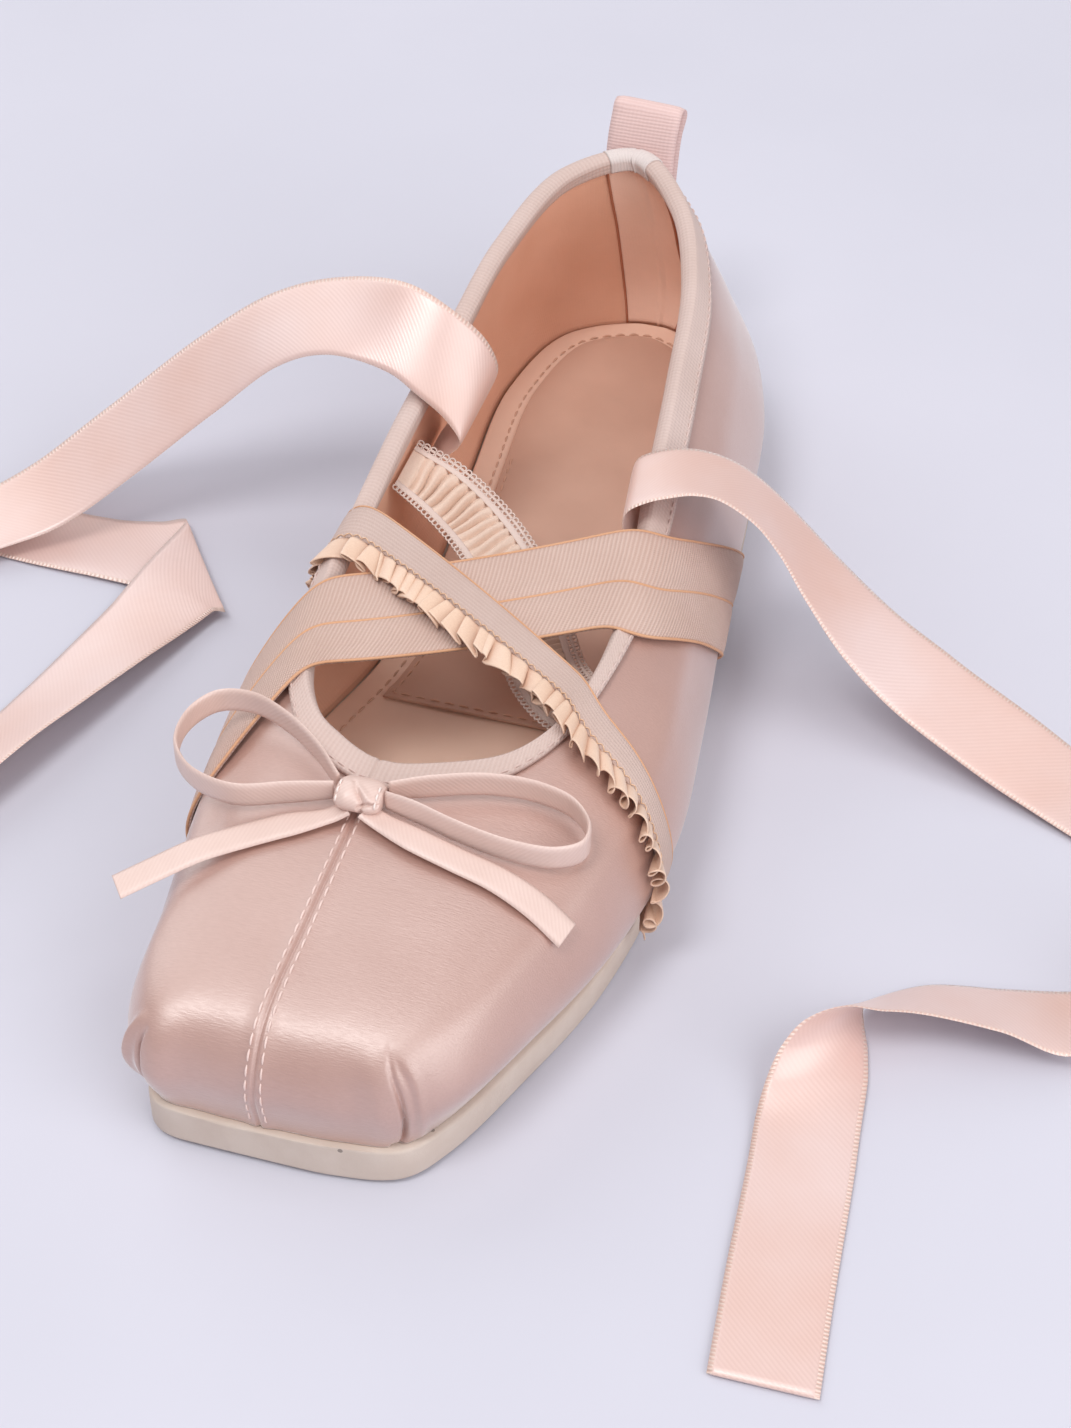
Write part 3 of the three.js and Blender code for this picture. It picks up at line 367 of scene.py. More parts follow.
# Colours are typed as sRGB bytes and used as linear light
def colour(red, green, blue):
    values = np.array([red, green, blue]) / 255
    linear = np.where(values <= 0.04045, values / 12.92, ((values + 0.055) / 1.055) ** 2.4)
    return (*linear.tolist(), 1.0)


def smooth_step(x):
    x = np.clip(x, 0, 1)
    return x * x * (3 - 2 * x)


# Smoothing and folds reach this many spreads
HUMP_REACH = 3


def between(start, end, share):
    return start + (end - start) * share


def hump(x, spread):
    return np.exp(-((x / spread) ** 2))


def unit(vectors):
    return vectors / np.maximum(np.linalg.norm(vectors, axis=-1, keepdims=True), 1e-9)


def wander(run, step, low, high):
    """A number that changes at random between two limits along a run of lengths."""
    knots = np.arange(0, run[-1] + step, step)
    return np.interp(run, knots, RANDOM.uniform(low, high, len(knots)))


# Centripetal Catmull-Rom curves through rows of points
def spline_piece(p0, p1, p2, p3, w):
    def knot(a, b):
        return np.maximum(((a - b) ** 2).sum(-1) ** 0.25, 1e-9)[..., None]

    d0, d1, d2 = knot(p0, p1), knot(p1, p2), knot(p2, p3)
    t1 = ((p1 - p0) / d0 - (p2 - p0) / (d0 + d1) + (p2 - p1) / d1) * d1
    t2 = ((p2 - p1) / d1 - (p3 - p1) / (d1 + d2) + (p3 - p2) / d2) * d1
    w = w[..., None]
    return p1 + t1 * w + (-3 * p1 + 3 * p2 - 2 * t1 - t2) * w**2 + (2 * p1 - 2 * p2 + t1 + t2) * w**3


def closed_spline(points, t):
    n = len(points)
    s = (np.asarray(t, float) % 1) * n
    k = np.floor(s).astype(int) % n
    around = [points[(k + j) % n] for j in (-1, 0, 1, 2)]
    return spline_piece(*around, s - np.floor(s))


def open_spline(points, t):
    n = points.shape[-2]
    s = np.clip(np.asarray(t, float), 0, 1) * (n - 1)
    k = np.minimum(np.floor(s).astype(int), n - 2)
    first = 2 * points[..., :1, :] - points[..., 1:2, :]
    last = 2 * points[..., -1:, :] - points[..., -2:-1, :]
    ends = np.concatenate([first, points, last], axis=-2)
    if ends.ndim == 2:
        return spline_piece(ends[k], ends[k + 1], ends[k + 2], ends[k + 3], s - k)
    picked = [np.take_along_axis(ends, (k + j)[..., None, None], axis=-2)[..., 0, :] for j in range(4)]
    return spline_piece(*picked, s - k)


def lengths_along(points):
    """Distance along the first axis of a grid of points."""
    steps = np.linalg.norm(np.diff(points, axis=0), axis=-1)
    return np.concatenate([np.zeros((1,) + steps.shape[1:]), np.cumsum(steps, axis=0)])


def points_at(line, run, places):
    """Points or vectors of a line at some lengths along it."""
    return np.stack([np.interp(places, run, line[:, axis]) for axis in range(3)], axis=-1)


def evenly_spaced(line, steps):
    """A line of points at even distances along it."""
    run = lengths_along(line)
    return points_at(line, run, np.linspace(0, run[-1], steps))


def softened(line, sigma):
    """A grid of points smoothed along its first axis, with its ends kept; sigma is in steps."""
    reach = int(HUMP_REACH * sigma)
    before = 2 * line[:1] - line[reach:0:-1]
    after = 2 * line[-1:] - line[-2 : -reach - 2 : -1]
    padded = np.concatenate([before, line, after])
    weights = hump(np.arange(-reach, reach + 1), sigma * math.sqrt(2))
    weights = weights / weights.sum()
    return sum(weight * padded[k : k + len(line)] for k, weight in enumerate(weights))


# The last: five closed lines round the shoe, at the feather edge, swelling, shoulder, crown and topline
def sole_height(y, column):
    table = dict(zip(SOLE_COLUMNS, np.array(SOLE_ROWS).T))
    along = 100 * np.asarray(y, float) / LENGTH
    k = np.clip(np.searchsorted(table["along"], along) - 1, 0, len(SOLE_ROWS) - 2)
    w = smooth_step((along - table["along"][k]) / (table["along"][k + 1] - table["along"][k]))
    return table[column][k] * (1 - w) + table[column][k + 1] * w


# Small steps that give the slopes of the last: part of the way round, sections, part of the way up
PLAN_STEP = 1e-4
ROW_STEP = 0.1
UP_STEP = 0.02
RISE_FROM = 0.97


def outward(points, t):
    ahead = closed_spline(points, t + PLAN_STEP) - closed_spline(points, t - PLAN_STEP)
    return unit(np.stack([ahead[..., 1], -ahead[..., 0], 0 * ahead[..., 0]], axis=-1))


def section_lines():
    row = dict(zip(SECTION_COLUMNS, np.array(SECTION_ROWS).T))
    x, y = row["across"] * BALL_WIDTH / 100, row["along"] * LENGTH / 100
    feather = np.stack([x, y, sole_height(y, "top") + GAP], axis=-1)
    swelling = feather + outward(feather, np.arange(ROUND) / ROUND) * row["flare"][:, None]
    swelling[:, 2] += BULGE_RISE
    scale = np.array([BALL_WIDTH, LENGTH, BACK_HEIGHT]) / 100
    topline = np.stack([row["top_across"], row["top_along"], row["top_height"]], axis=-1) * scale
    inwards = np.stack([row["ridge_in"], row["ridge_in"], row["ridge_up"]], axis=-1)
    shoulder = between(swelling, topline, inwards)
    crown = between(shoulder, topline, CROWN_AT)
    crown[:, 2] += CROWN
    return [feather, swelling, shoulder, crown, topline]


LINES = section_lines()


def same_shape(row, up):
    return np.broadcast_arrays(np.asarray(row, float), np.asarray(up, float))


def last_point(row, up):
    row, up = same_shape(row, up)
    knots = np.stack([closed_spline(line, row / ROUND) for line in LINES], axis=-2)
    return open_spline(knots, up)


def last_normal(row, up):
    row, up = same_shape(row, up)
    rise = last_point(row, np.minimum(up + UP_STEP, 1)) - last_point(row, np.maximum(up - UP_STEP, 0))
    return unit(np.cross(last_point(row + ROW_STEP, up) - last_point(row - ROW_STEP, up), rise))


def row_gap(row, at):
    return (row - at + ROUND / 2) % ROUND - ROUND / 2


# Steps of the wall: the puffed seam with its groove, the seam at the heel and the folds
FOLD_POINTS = 90
SEAM_ROWS_NEAR = 2


def seam_row(up):
    return between(*SEAM_ROW, np.asarray(up, float))


def fold_table(points, steps):
    """A fold's rows with more between them."""
    return open_spline(np.array(points, float), np.linspace(0, 1, steps))


def fold_steps(places, spread, line, heights):
    """Height that a fold along a line gives to each of some points."""
    steps = np.zeros(places.shape[:-1])
    reach = HUMP_REACH * spread
    near = ((places > line.min(0) - reach) & (places < line.max(0) + reach)).all(-1)
    if near.any():
        gaps = np.linalg.norm(places[near][:, None] - line[None], axis=-1)
        steps[near] = heights[gaps.argmin(1)] * hump(gaps.min(1), spread)
    return steps


def fold_lines():
    tables = [(spread, fold_table(points, FOLD_POINTS)) for spread, points in FOLDS.values()]
    return [(spread, last_point(t[:, 0], t[:, 1].clip(0, 1)), t[:, 2]) for spread, t in tables]


FOLD_LINES = fold_lines()


def off_line(row, up, line_row):
    """Distance of points of the wall from a line that runs up it; those further round count as far away."""
    off = np.linalg.norm(last_point(row, up) - last_point(line_row, up), axis=-1)
    return np.where(np.abs(row_gap(row, line_row)) < SEAM_ROWS_NEAR, off, LENGTH)


def relief(row, up):
    off_seam = off_line(row, up, seam_row(up))
    step = SEAM_PUFF * hump(off_seam, SEAM_SPREAD) - SEAM_GROOVE * hump(off_seam, SEAM_GROOVE_SPREAD)
    step = step - HEEL_SEAM_GROOVE * hump(off_line(row, up, HEEL_ROW + 0 * up), SEAM_GROOVE_SPREAD)
    places = last_point(row, up)
    for spread, line, heights in FOLD_LINES:
        step = step + fold_steps(places, spread, line, heights)
    return step


def wall(row, up, out=0.0):
    """Points of the wall's outside, moved outwards by some mm."""
    row, up = same_shape(row, up)
    return last_point(row, up) + last_normal(row, up) * (relief(row, up) + out)[..., None]


def topline_frame(rows):
    """The wall's upper edge, with the directions outwards and up the wall there."""
    rise = unit(last_point(rows, 1.0) - last_point(rows, RISE_FROM))
    return wall(rows, 1.0), last_normal(rows, 1.0), rise


# Meshes are built from arrays of points in the tables' millimetres
def frame_points(points):
    return ((np.asarray(points) - ORIGIN) * MM).tolist()


def add_object(name, data):
    thing = bpy.data.objects.new(name, data)
    bpy.context.scene.collection.objects.link(thing)
    return thing


def make_piece(name, points, faces, materials, uv, face_material=None, node=None, sharp=None):
    mesh = bpy.data.meshes.new(name)
    mesh.from_pydata(frame_points(points), [], faces.tolist() if isinstance(faces, np.ndarray) else faces)
    layer = mesh.uv_layers.new(name="UVMap")
    corners = np.empty(len(mesh.loops), dtype=np.int32)
    mesh.loops.foreach_get("vertex_index", corners)
    layer.data.foreach_set("uv", np.asarray(uv, dtype=np.float32)[corners].ravel())
    for material in materials:
        mesh.materials.append(material)
    if face_material is not None:
        mesh.polygons.foreach_set("material_index", np.asarray(face_material, dtype=np.int32))
    mesh.polygons.foreach_set("use_smooth", np.ones(len(mesh.polygons), dtype=bool))
    if sharp:
        mesh.set_sharp_from_angle(angle=math.radians(sharp))
    mesh.update()
    piece = add_object(name, mesh)
    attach(piece, "root")
    if node:
        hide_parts(node)
    return piece


def quads(index):
    """Faces between neighbouring points of a grid of vertex numbers."""
    return np.stack([index[:-1, :-1], index[1:, :-1], index[1:, 1:], index[:-1, 1:]], axis=-1).reshape(-1, 4)


def inside_out(points, faces):
    a, b, c, d = (points[faces[:, k]] for k in range(4))
    return (a * np.cross(b, c)).sum() + (a * np.cross(c, d)).sum() < 0


def facing_out(points, faces):
    """Turns the faces over if the closed mesh came out inside out."""
    return faces[:, ::-1] if inside_out(points, faces) else faces


def tube_faces(grid):
    """Faces of closed rings one after another, with a flat face at both ends."""
    rows, columns = grid.shape[:2]
    index = np.arange(rows * columns).reshape(rows, columns)
    sides = quads(np.hstack([index, index[:, :1]]))
    faces = sides.tolist() + [index[0].tolist(), index[-1, ::-1].tolist()]
    if inside_out(grid.reshape(-1, 3) - grid.reshape(-1, 3).mean(0), sides):
        faces = [face[::-1] for face in faces]
    return faces


def sheet_faces(rows, columns, endless):
    """Faces of a closed sheet of two grids, the upper one first."""
    upper = np.arange(rows * columns).reshape(rows, columns)
    lower = upper + rows * columns
    if endless:
        upper = np.vstack([upper, upper[:1]])
        lower = np.vstack([lower, lower[:1]])
    edges = [(lower[:, 0], upper[:, 0]), (upper[:, -1], lower[:, -1])]
    if not endless:
        edges += [(upper[0], lower[0]), (lower[-1], upper[-1])]
    sides = [quads(np.stack(edge, axis=1)) for edge in edges]
    return np.concatenate([quads(upper), quads(lower)[:, ::-1], *sides])


def sheet_piece(name, upper, lower, uv, material, endless=False, node=None):
    points = np.concatenate([upper.reshape(-1, 3), lower.reshape(-1, 3)])
    faces = facing_out(points, sheet_faces(*upper.shape[:2], endless))
    both = np.tile(uv.reshape(-1, 2), (2, 1))
    return make_piece(name, points, faces, [material], both, node=node)


def grid_uv(points):
    """Millimetres along and across a grid of points, from its middle lines."""
    along = lengths_along(points[:, points.shape[1] // 2])
    across = lengths_along(points[points.shape[0] // 2])
    return np.stack(np.meshgrid(along, across, indexing="ij"), axis=-1)


def grid_normals(points):
    along = np.gradient(points, axis=0)
    across = np.gradient(points, axis=1)
    return unit(np.cross(along, across))


def upward(normals):
    """The normals of a grid, turned so that those in its middle point up."""
    middle = normals[tuple(n // 2 for n in normals.shape[:-1])]
    return normals if middle[2] > 0 else -normals


# Tubes for stitches and lace threads, joined into one mesh
class ThreadMesh:
    def __init__(self, sides=6):
        self.sides = sides
        self.points = []
        self.faces = []
        self.count = 0

    def add(self, path, up, radius):
        """A tube along a short path; up is a direction across it and radius a number for each point."""
        ahead = unit(np.gradient(path, axis=0))
        side = unit(np.cross(ahead, up))
        over = np.cross(side, ahead)
        angles = 2 * np.pi * np.arange(self.sides) / self.sides
        ring = side[:, None] * np.cos(angles)[None, :, None] + over[:, None] * np.sin(angles)[None, :, None]
        grid = path[:, None] + ring * np.broadcast_to(radius, len(path))[:, None, None]
        self.faces += [[self.count + k for k in face] for face in tube_faces(grid)]
        self.points.append(grid.reshape(-1, 3))
        self.count += grid.shape[0] * grid.shape[1]

    def piece(self, name, material, slot):
        points = np.concatenate(self.points)
        return make_piece(name, points, self.faces, [material], points[:, :2])


# Points along a stitch, and its lift and thickness at its ends and middle in radii
STITCH_PROFILE = np.array([0.0, 0.12, 0.35, 0.65, 0.88, 1.0])
STITCH_LIFT = (-0.5, 0.8)
STITCH_SWELL = (0.55, 1.0)


def add_stitches(mesh, line, normals, length, gap, radius):
    """A row of stitches along a line: each is a short thread that dips into the cloth at its ends."""
    run = lengths_along(line)
    bulge = np.sin(np.pi * STITCH_PROFILE)
    lift = radius * between(*STITCH_LIFT, bulge)
    swell = radius * between(*STITCH_SWELL, bulge)
    for start in np.arange(gap, run[-1] - length, length + gap):
        places = start + length * STITCH_PROFILE
        up = unit(points_at(normals, run, places))
        mesh.add(points_at(line, run, places) + up * lift[:, None], up, swell)


# Materials
def new_material(name):
    material = bpy.data.materials.new(name)
    material.use_nodes = True
    return material, material.node_tree, material.node_tree.nodes["Principled BSDF"]


def set_inputs(tree, node, inputs):
    """Links a node's inputs to the sockets among some values and sets them to the plain ones."""
    for name, value in inputs.items():
        if isinstance(value, bpy.types.NodeSocket):
            tree.links.new(value, node.inputs[name])
        else:
            node.inputs[name].default_value = value


def add_node(tree, kind, inputs, **settings):
    node = tree.nodes.new("ShaderNode" + kind)
    for key, value in settings.items():
        setattr(node, key, value)
    set_inputs(tree, node, inputs)
    return node


def noise_height(tree, scale, detail=2.0, stretch=(1.0, 1.0, 1.0)):
    """Noise over the surface, in spots a metre, drawn out along an axis where its stretch is small."""
    place = add_node(tree, "TexCoord", {})
    drawn = add_node(tree, "Mapping", {"Vector": place.outputs["Object"], "Scale": stretch})
    inputs = {"Vector": drawn.outputs["Vector"], "Scale": scale, "Detail": detail}
    return add_node(tree, "TexNoise", inputs).outputs["Fac"]


MOTTLE_DETAIL = 4.0
MOTTLE_ENDS = (0.3, 0.7)


def mottled(tree, dark, light, scale):
    """Soft change between two colours over the surface; scale is in spots a metre."""
    ramp = add_node(tree, "ValToRGB", {"Fac": noise_height(tree, scale, MOTTLE_DETAIL)})
    for element, position, shade in zip(ramp.color_ramp.elements, MOTTLE_ENDS, (dark, light)):
        element.position = position
        element.color = colour(*shade)
    return ramp.outputs["Color"]


def math_node(tree, operation, *values):
    return add_node(tree, "Math", dict(enumerate(values)), operation=operation).outputs["Value"]


def mixed(tree, blend, factor, base, other):
    """Mix of two colours; the numbers are those of the mix node's colour sockets."""
    inputs = {0: factor, 6: base, 7: other}
    return add_node(tree, "Mix", inputs, data_type="RGBA", blend_type=blend).outputs[2]


# Period of the wave texture at scale 1, by the direction of its bands
WAVE_PERIOD = {"X": 2 * math.pi / 20, "Y": 2 * math.pi / 20, "DIAGONAL": 2 * math.pi / 10 / math.sqrt(2)}
RIB_WOBBLE = 0.4


def rib_height(tree, direction, pitch):
    """Ribs at a pitch in mm; direction X is along a piece and Y across it."""
    uv = add_node(tree, "UVMap", {}, uv_map="UVMap")
    scale = WAVE_PERIOD[direction] / pitch
    inputs = {"Vector": uv.outputs["UV"], "Scale": scale, "Distortion": RIB_WOBBLE, "Detail": 1.0}
    return add_node(tree, "TexWave", inputs, bands_direction=direction).outputs["Fac"]


def add_bump(tree, height, depth, before=None):
    inputs = {"Height": height, "Distance": depth * MM, "Strength": 1.0}
    if before is not None:
        inputs["Normal"] = before
    return add_node(tree, "Bump", inputs).outputs["Normal"]


# Painted shade of woven cloth: the colour mixed in between ribs and along fine streaks
WEAVE_SHADE = (0.62, 0.46, 0.4, 1.0)
GRAIN_SPOTS = 4500.0
STREAK_SPOTS = 3300.0
# Share of painted shade along the fine streaks
STREAK_SHADE = 0.45
STREAK_GLOSS = 0.16
COAT_ROUGHNESS = 0.4
SHEEN_ROUGHNESS = 0.4


def add_selvedge(tree, selvedge, base, normal):
    """Woven edges of a ribbon: a band of another shade, crossed by a row of raised threads."""
    uv = add_node(tree, "UVMap", {}, uv_map="UVMap")
    across = add_node(tree, "SeparateXYZ", {"Vector": uv.outputs["UV"]}).outputs["Y"]
    off_middle = math_node(tree, "ABSOLUTE", math_node(tree, "SUBTRACT", across, selvedge["middle"]))
    edge = math_node(tree, "GREATER_THAN", off_middle, selvedge["middle"] - selvedge["width"])
    ticks = math_node(tree, "MULTIPLY", edge, rib_height(tree, "X", selvedge["pitch"]))
    for part, (share, shade) in ((edge, selvedge["band"]), (ticks, selvedge["threads"])):
        base = mixed(tree, "MIX", math_node(tree, "MULTIPLY", part, share), base, colour(*shade))
    return base, add_bump(tree, ticks, selvedge["depth"], normal)


def fabric(
    name, dark, light, roughness, ribs=(), valley_shade=0.0, streaks=None, grain=0.0, sheen=0.0, ior=1.5,
    patches=70.0, selvedge=None, coat=0.0,
):
    """Cloth. ribs lists direction, pitch and depth in mm and valley is how much painted shade darkens the
    cloth between the first ones. streaks are the stretch and depth of a fine weave, with painted shade along
    them; grain is the depth of a nap, patches is in spots a metre and selvedge describes a ribbon's edges."""
    material, tree, shader = new_material(name)
    base = mottled(tree, dark, light, patches)
    normal = None
    for number, (direction, pitch, depth) in enumerate(ribs):
        height = rib_height(tree, direction, pitch)
        normal = add_bump(tree, height, depth, normal)
        # Painted shade between the first ribs
        if number == 0 and valley_shade:
            shaded = math_node(tree, "MULTIPLY_ADD", height, -valley_shade, valley_shade)
            base = mixed(tree, "MULTIPLY", shaded, base, WEAVE_SHADE)
    if streaks:
        stretch, depth = streaks
        height = noise_height(tree, STREAK_SPOTS, 2.0, stretch)
        normal = add_bump(tree, height, depth, normal)
        # Painted shade along the streaks of the weave
        base = mixed(tree, "MULTIPLY", math_node(tree, "MULTIPLY", height, STREAK_SHADE), base, WEAVE_SHADE)
        gloss = math_node(tree, "MULTIPLY_ADD", height, STREAK_GLOSS, roughness - STREAK_GLOSS / 2)
        tree.links.new(gloss, shader.inputs["Roughness"])
    if grain:
        normal = add_bump(tree, noise_height(tree, GRAIN_SPOTS), grain, normal)
    if selvedge:
        base, normal = add_selvedge(tree, selvedge, base, normal)
    inputs = {
        "Base Color": base, "Normal": normal, "Coat Normal": normal, "Roughness": roughness, "IOR": ior,
        "Coat Weight": coat, "Coat Roughness": COAT_ROUGHNESS,
        "Sheen Weight": sheen, "Sheen Roughness": SHEEN_ROUGHNESS,
    }
    set_inputs(tree, shader, inputs)
    return material


# Rubber: its specks, and its bumps by spots a metre, detail and depth in mm
SPECKS = {"cells": 150.0, "radius": 0.07, "from": 0.72, "strength": 0.7}
RUBBER_BUMPS = [(900.0, 3.0, 0.05), (3200.0, 2.0, 0.03)]


def rubber(name, dark, light, speck, patches=160.0, roughness=0.72):
    """Matte moulded rubber with a fine grain and a few dark specks."""
    material, tree, shader = new_material(name)
    base = mottled(tree, dark, light, patches)
    place = add_node(tree, "TexCoord", {}).outputs["Object"]
    cells = add_node(tree, "TexVoronoi", {"Vector": place, "Scale": SPECKS["cells"]})
    spot = math_node(tree, "LESS_THAN", cells.outputs["Distance"], SPECKS["radius"])
    kept = add_node(tree, "SeparateXYZ", {"Vector": cells.outputs["Color"]}).outputs["X"]
    spot = math_node(tree, "MULTIPLY", spot, math_node(tree, "GREATER_THAN", kept, SPECKS["from"]))
    base = mixed(tree, "MIX", math_node(tree, "MULTIPLY", spot, SPECKS["strength"]), base, colour(*speck))
    normal = None
    for scale, detail, depth in RUBBER_BUMPS:
        normal = add_bump(tree, noise_height(tree, scale, detail), depth, normal)
    set_inputs(tree, shader, {"Base Color": base, "Normal": normal, "Roughness": roughness})
    return material


# Stretch of streaks that run across the shoe and of an even weave
ACROSS = (0.18, 1.0, 1.0)
EVEN = (1.0, 1.0, 1.0)
PLAIN_WEAVE = [("X", 0.7, 0.02), ("Y", 0.7, 0.02)]
SATIN = fabric(
    "satin", (182, 136, 121), (188, 144, 130), 0.5, streaks=(ACROSS, 0.05), grain=0.012, sheen=0.6,
    ior=2.7, coat=1.0,
)
LINING = fabric("lining", (234, 183, 155), (240, 191, 165), 0.5, PLAIN_WEAVE)
LINING_STRIP = fabric("lining_strip", (243, 206, 186), (248, 213, 195), 0.5, PLAIN_WEAVE)
INSOLE = fabric("insole_cover", (242, 210, 190), (247, 216, 197), 0.5, grain=0.03)
SOCK = fabric("sock_cover", (204, 166, 147), (211, 174, 155), 0.48, grain=0.03)
RUBBER = rubber("sole_rubber", (203, 186, 174), (210, 195, 184), (108, 98, 92))
TAPE = fabric(
    "binding_tape", (205, 183, 175), (211, 190, 183), 0.75, [("X", 0.95, 0.05), ("Y", 0.85, 0.04)],
    valley_shade=0.16, sheen=0.1,
)
JOIN_TAPE = fabric("join_tape", (214, 202, 199), (220, 209, 206), 0.75, [("X", 0.8, 0.06)], sheen=0.1)
ELASTIC = fabric(
    "elastic", (206, 178, 166), (212, 186, 175), 0.75, [("X", 0.85, 0.12), ("Y", 0.5, 0.04)],
    valley_shade=0.38, sheen=0.1,
)
PIPING = fabric("piping", (205, 154, 118), (213, 165, 130), 0.6, [("X", 0.6, 0.03)])
NARROW_ELASTIC = fabric(
    "narrow_elastic", (197, 173, 164), (203, 181, 173), 0.72, [("Y", 0.8, 0.07), ("X", 0.6, 0.05)],
    valley_shade=0.2, sheen=0.1,
)
# Pitch, in the mm of the frill's uv, of the painted shade that darkens the frill where its folds turn under
FRILL_SHADE_PITCH = 4.0
FRILL = fabric(
    "frill_satin", (238, 208, 184), (244, 218, 197), 0.38, [("X", FRILL_SHADE_PITCH, 0.0)], valley_shade=0.55,
    streaks=(EVEN, 0.012), sheen=0.1,
)
LACE_SATIN = fabric("lace_satin", (236, 211, 193), (242, 220, 204), 0.4, streaks=(EVEN, 0.012), sheen=0.1)
LACE_THREAD = fabric("lace_thread", (218, 196, 186), (226, 206, 197), 0.75, grain=0.02)
BOW_SATIN = fabric(
    "bow_satin", (220, 192, 182), (227, 201, 192), 0.42, [("DIAGONAL", 0.7, 0.018)], valley_shade=0.1,
    grain=0.008, ior=1.85,
)
# Edges of the ties in mm across them, with the share and colour of their band and threads
RIBBON_EDGE = {
    "middle": 9.3, "width": 0.9, "pitch": 0.8, "depth": 0.1,
    "band": (0.45, (224, 176, 154)), "threads": (0.9, (236, 212, 200)),
}
RIBBON_SATIN = fabric(
    "ribbon_satin", (221, 180, 166), (229, 202, 197), 0.4, [("DIAGONAL", 0.8, 0.012)], valley_shade=0.1,
    ior=2.3, sheen=0.35, patches=25.0, selvedge=RIBBON_EDGE,
)
PULL_TAPE = fabric(
    "pull_tape", (226, 197, 193), (232, 204, 200), 0.75, [("X", 0.75, 0.05), ("Y", 0.9, 0.02)],
    valley_shade=0.2, sheen=0.1,
)
THREAD = fabric("seam_thread", (226, 200, 192), (236, 212, 205), 0.5, grain=0.02)
KNOT_THREAD = fabric("knot_thread", (238, 222, 216), (244, 230, 225), 0.5, grain=0.02)
EDGE_THREAD = fabric("edge_thread", (206, 182, 175), (216, 193, 186), 0.6, grain=0.02)
TAN_THREAD = fabric("insole_thread", (216, 174, 150), (223, 183, 160), 0.6, grain=0.02)
SEAM_SHADE = fabric("seam_shade", (170, 108, 82), (182, 120, 94), 0.6, grain=0.02)
GOLD_THREAD = fabric("gold_thread", (222, 184, 152), (230, 195, 165), 0.55, grain=0.02)


# Camera, floor and light
def look_at(thing, place, target):
    back = np.array(place) - np.array(target)
    flat = math.hypot(back[0], back[1])
    thing.location = place
    thing.rotation_euler = (math.atan2(flat, back[2]), 0.0, math.atan2(back[0], -back[1]))


def add_camera():
    data = bpy.data.cameras.new("camera")
    data.lens = LENS
    data.sensor_width = SENSOR
    camera = add_object("camera", data)
    look_at(camera, CAMERA_AT, CAMERA_TARGET)
    bpy.context.scene.camera = camera


def add_light(name, place, target, size, power, tint):
    data = bpy.data.lights.new(name, "AREA")
    data.shape = "DISK"
    data.size = size
    data.energy = power
    data.color = tint
    look_at(add_object(name, data), place, target)


def add_stage():
    half = FLOOR["half"]
    mesh = bpy.data.meshes.new("floor")
    corners = [(-half, -half, 0), (half, -half, 0), (half, half, 0), (-half, half, 0)]
    mesh.from_pydata(corners, [], [(0, 1, 2, 3)])
    material, tree, shader = new_material("floor_paper")
    paper = mottled(tree, FLOOR["dark"], FLOOR["light"], FLOOR["patches"])
    set_inputs(tree, shader, {"Base Color": paper, "Roughness": FLOOR["roughness"]})
    mesh.materials.append(material)
    floor = add_object("floor", mesh)

    world = bpy.data.worlds.new("studio")
    world.use_nodes = True
    background = world.node_tree.nodes["Background"]
    set_inputs(world.node_tree, background, {"Color": ROOM_LIGHT, "Strength": ROOM_STRENGTH})
    bpy.context.scene.world = world
    bpy.context.scene.view_settings.view_transform = "Standard"
    for light in LIGHTS:
        add_light(*light)


# Tapes and cords
def tape_grid(rows, steps, columns):
    """Points of a flat tape's middle surface and its centre line."""
    table = np.array(rows, float)
    t = np.linspace(0, 1, steps)
    centre = open_spline(table[:, :3], t)
    half = open_spline(table[:, 3:], t)
    side = np.linspace(-1, 1, columns)
    return centre[:, None] + half[:, None] * side[None, :, None], centre


# Rounded edges of tapes: a power that keeps the middle flat, and the part of the thickness left at the edge
EDGE_POWER = 6
EDGE_THIN = 0.1


def rounded_sheet(name, middle, thick, material, node):
    """Sheet with rounded long edges about a grid of middle points."""
    side = np.linspace(-1, 1, middle.shape[1])
    swell = between(EDGE_THIN, 1, np.sqrt(np.clip(1 - np.abs(side) ** EDGE_POWER, 0, 1)))
    lift = grid_normals(middle) * (0.5 * thick * swell)[None, :, None]
    return sheet_piece(name, middle + lift, middle - lift, grid_uv(middle), material, node=node)


def add_cord(kind, material, name, node, rows, length, far_end, on_it=()):
    """A tie or a cord of the bow, lying loose along its rows; on_it is not used."""
    middle, centre = tape_grid(rows, *kind["grid"])
    piece = rounded_sheet(name, middle, kind["thick"], material, node)


# Knot: the spread of each fold in mm, then mm along the knot, degrees round it from the back over the top and
# the height in mm
KNOT_FOLDS = [
    (0.42, [(-1.3, 80, -0.3), (0.7, 132, -0.8), (1.2, 155, -0.8), (0.95, 171, -0.8), (1.15, 207, -0.5)]),
    (0.42, [(0.95, 171, -0.7), (2.9, 151, -0.7), (4.2, 154, -0.3)]),
    (0.6, [(-1.2, 88, 0.2), (1.2, 115, 0.5), (3.0, 141, 0.4)]),
    (1.3, [(-1.85, 92, 0.2), (-1.9, 135, 0.5), (-3.0, 165, 0.3)]),
]
KNOT_TAPER = 0.55
KNOT_FOLD_POINTS = 50
KNOT_RINGS = 61
KNOT_STEP = 3.75
KNOT_STITCHES = {"ends": (-0.86, 0.86), "degrees": (70, 205, 40), "lift": 0.12}


def knot_point(along, degrees):
    """Place on the knot's plain form and the way out from its axis; along goes from -1 to 1."""
    turn = np.radians(degrees)
    profile = np.sqrt(1 - KNOT_TAPER * along**4)
    direction = np.stack([0 * turn, np.cos(turn), np.sin(turn)], axis=-1)
    place = np.stack([along + 0 * turn, profile * np.cos(turn), profile * np.sin(turn)], axis=-1)
    return place * KNOT_HALF, direction


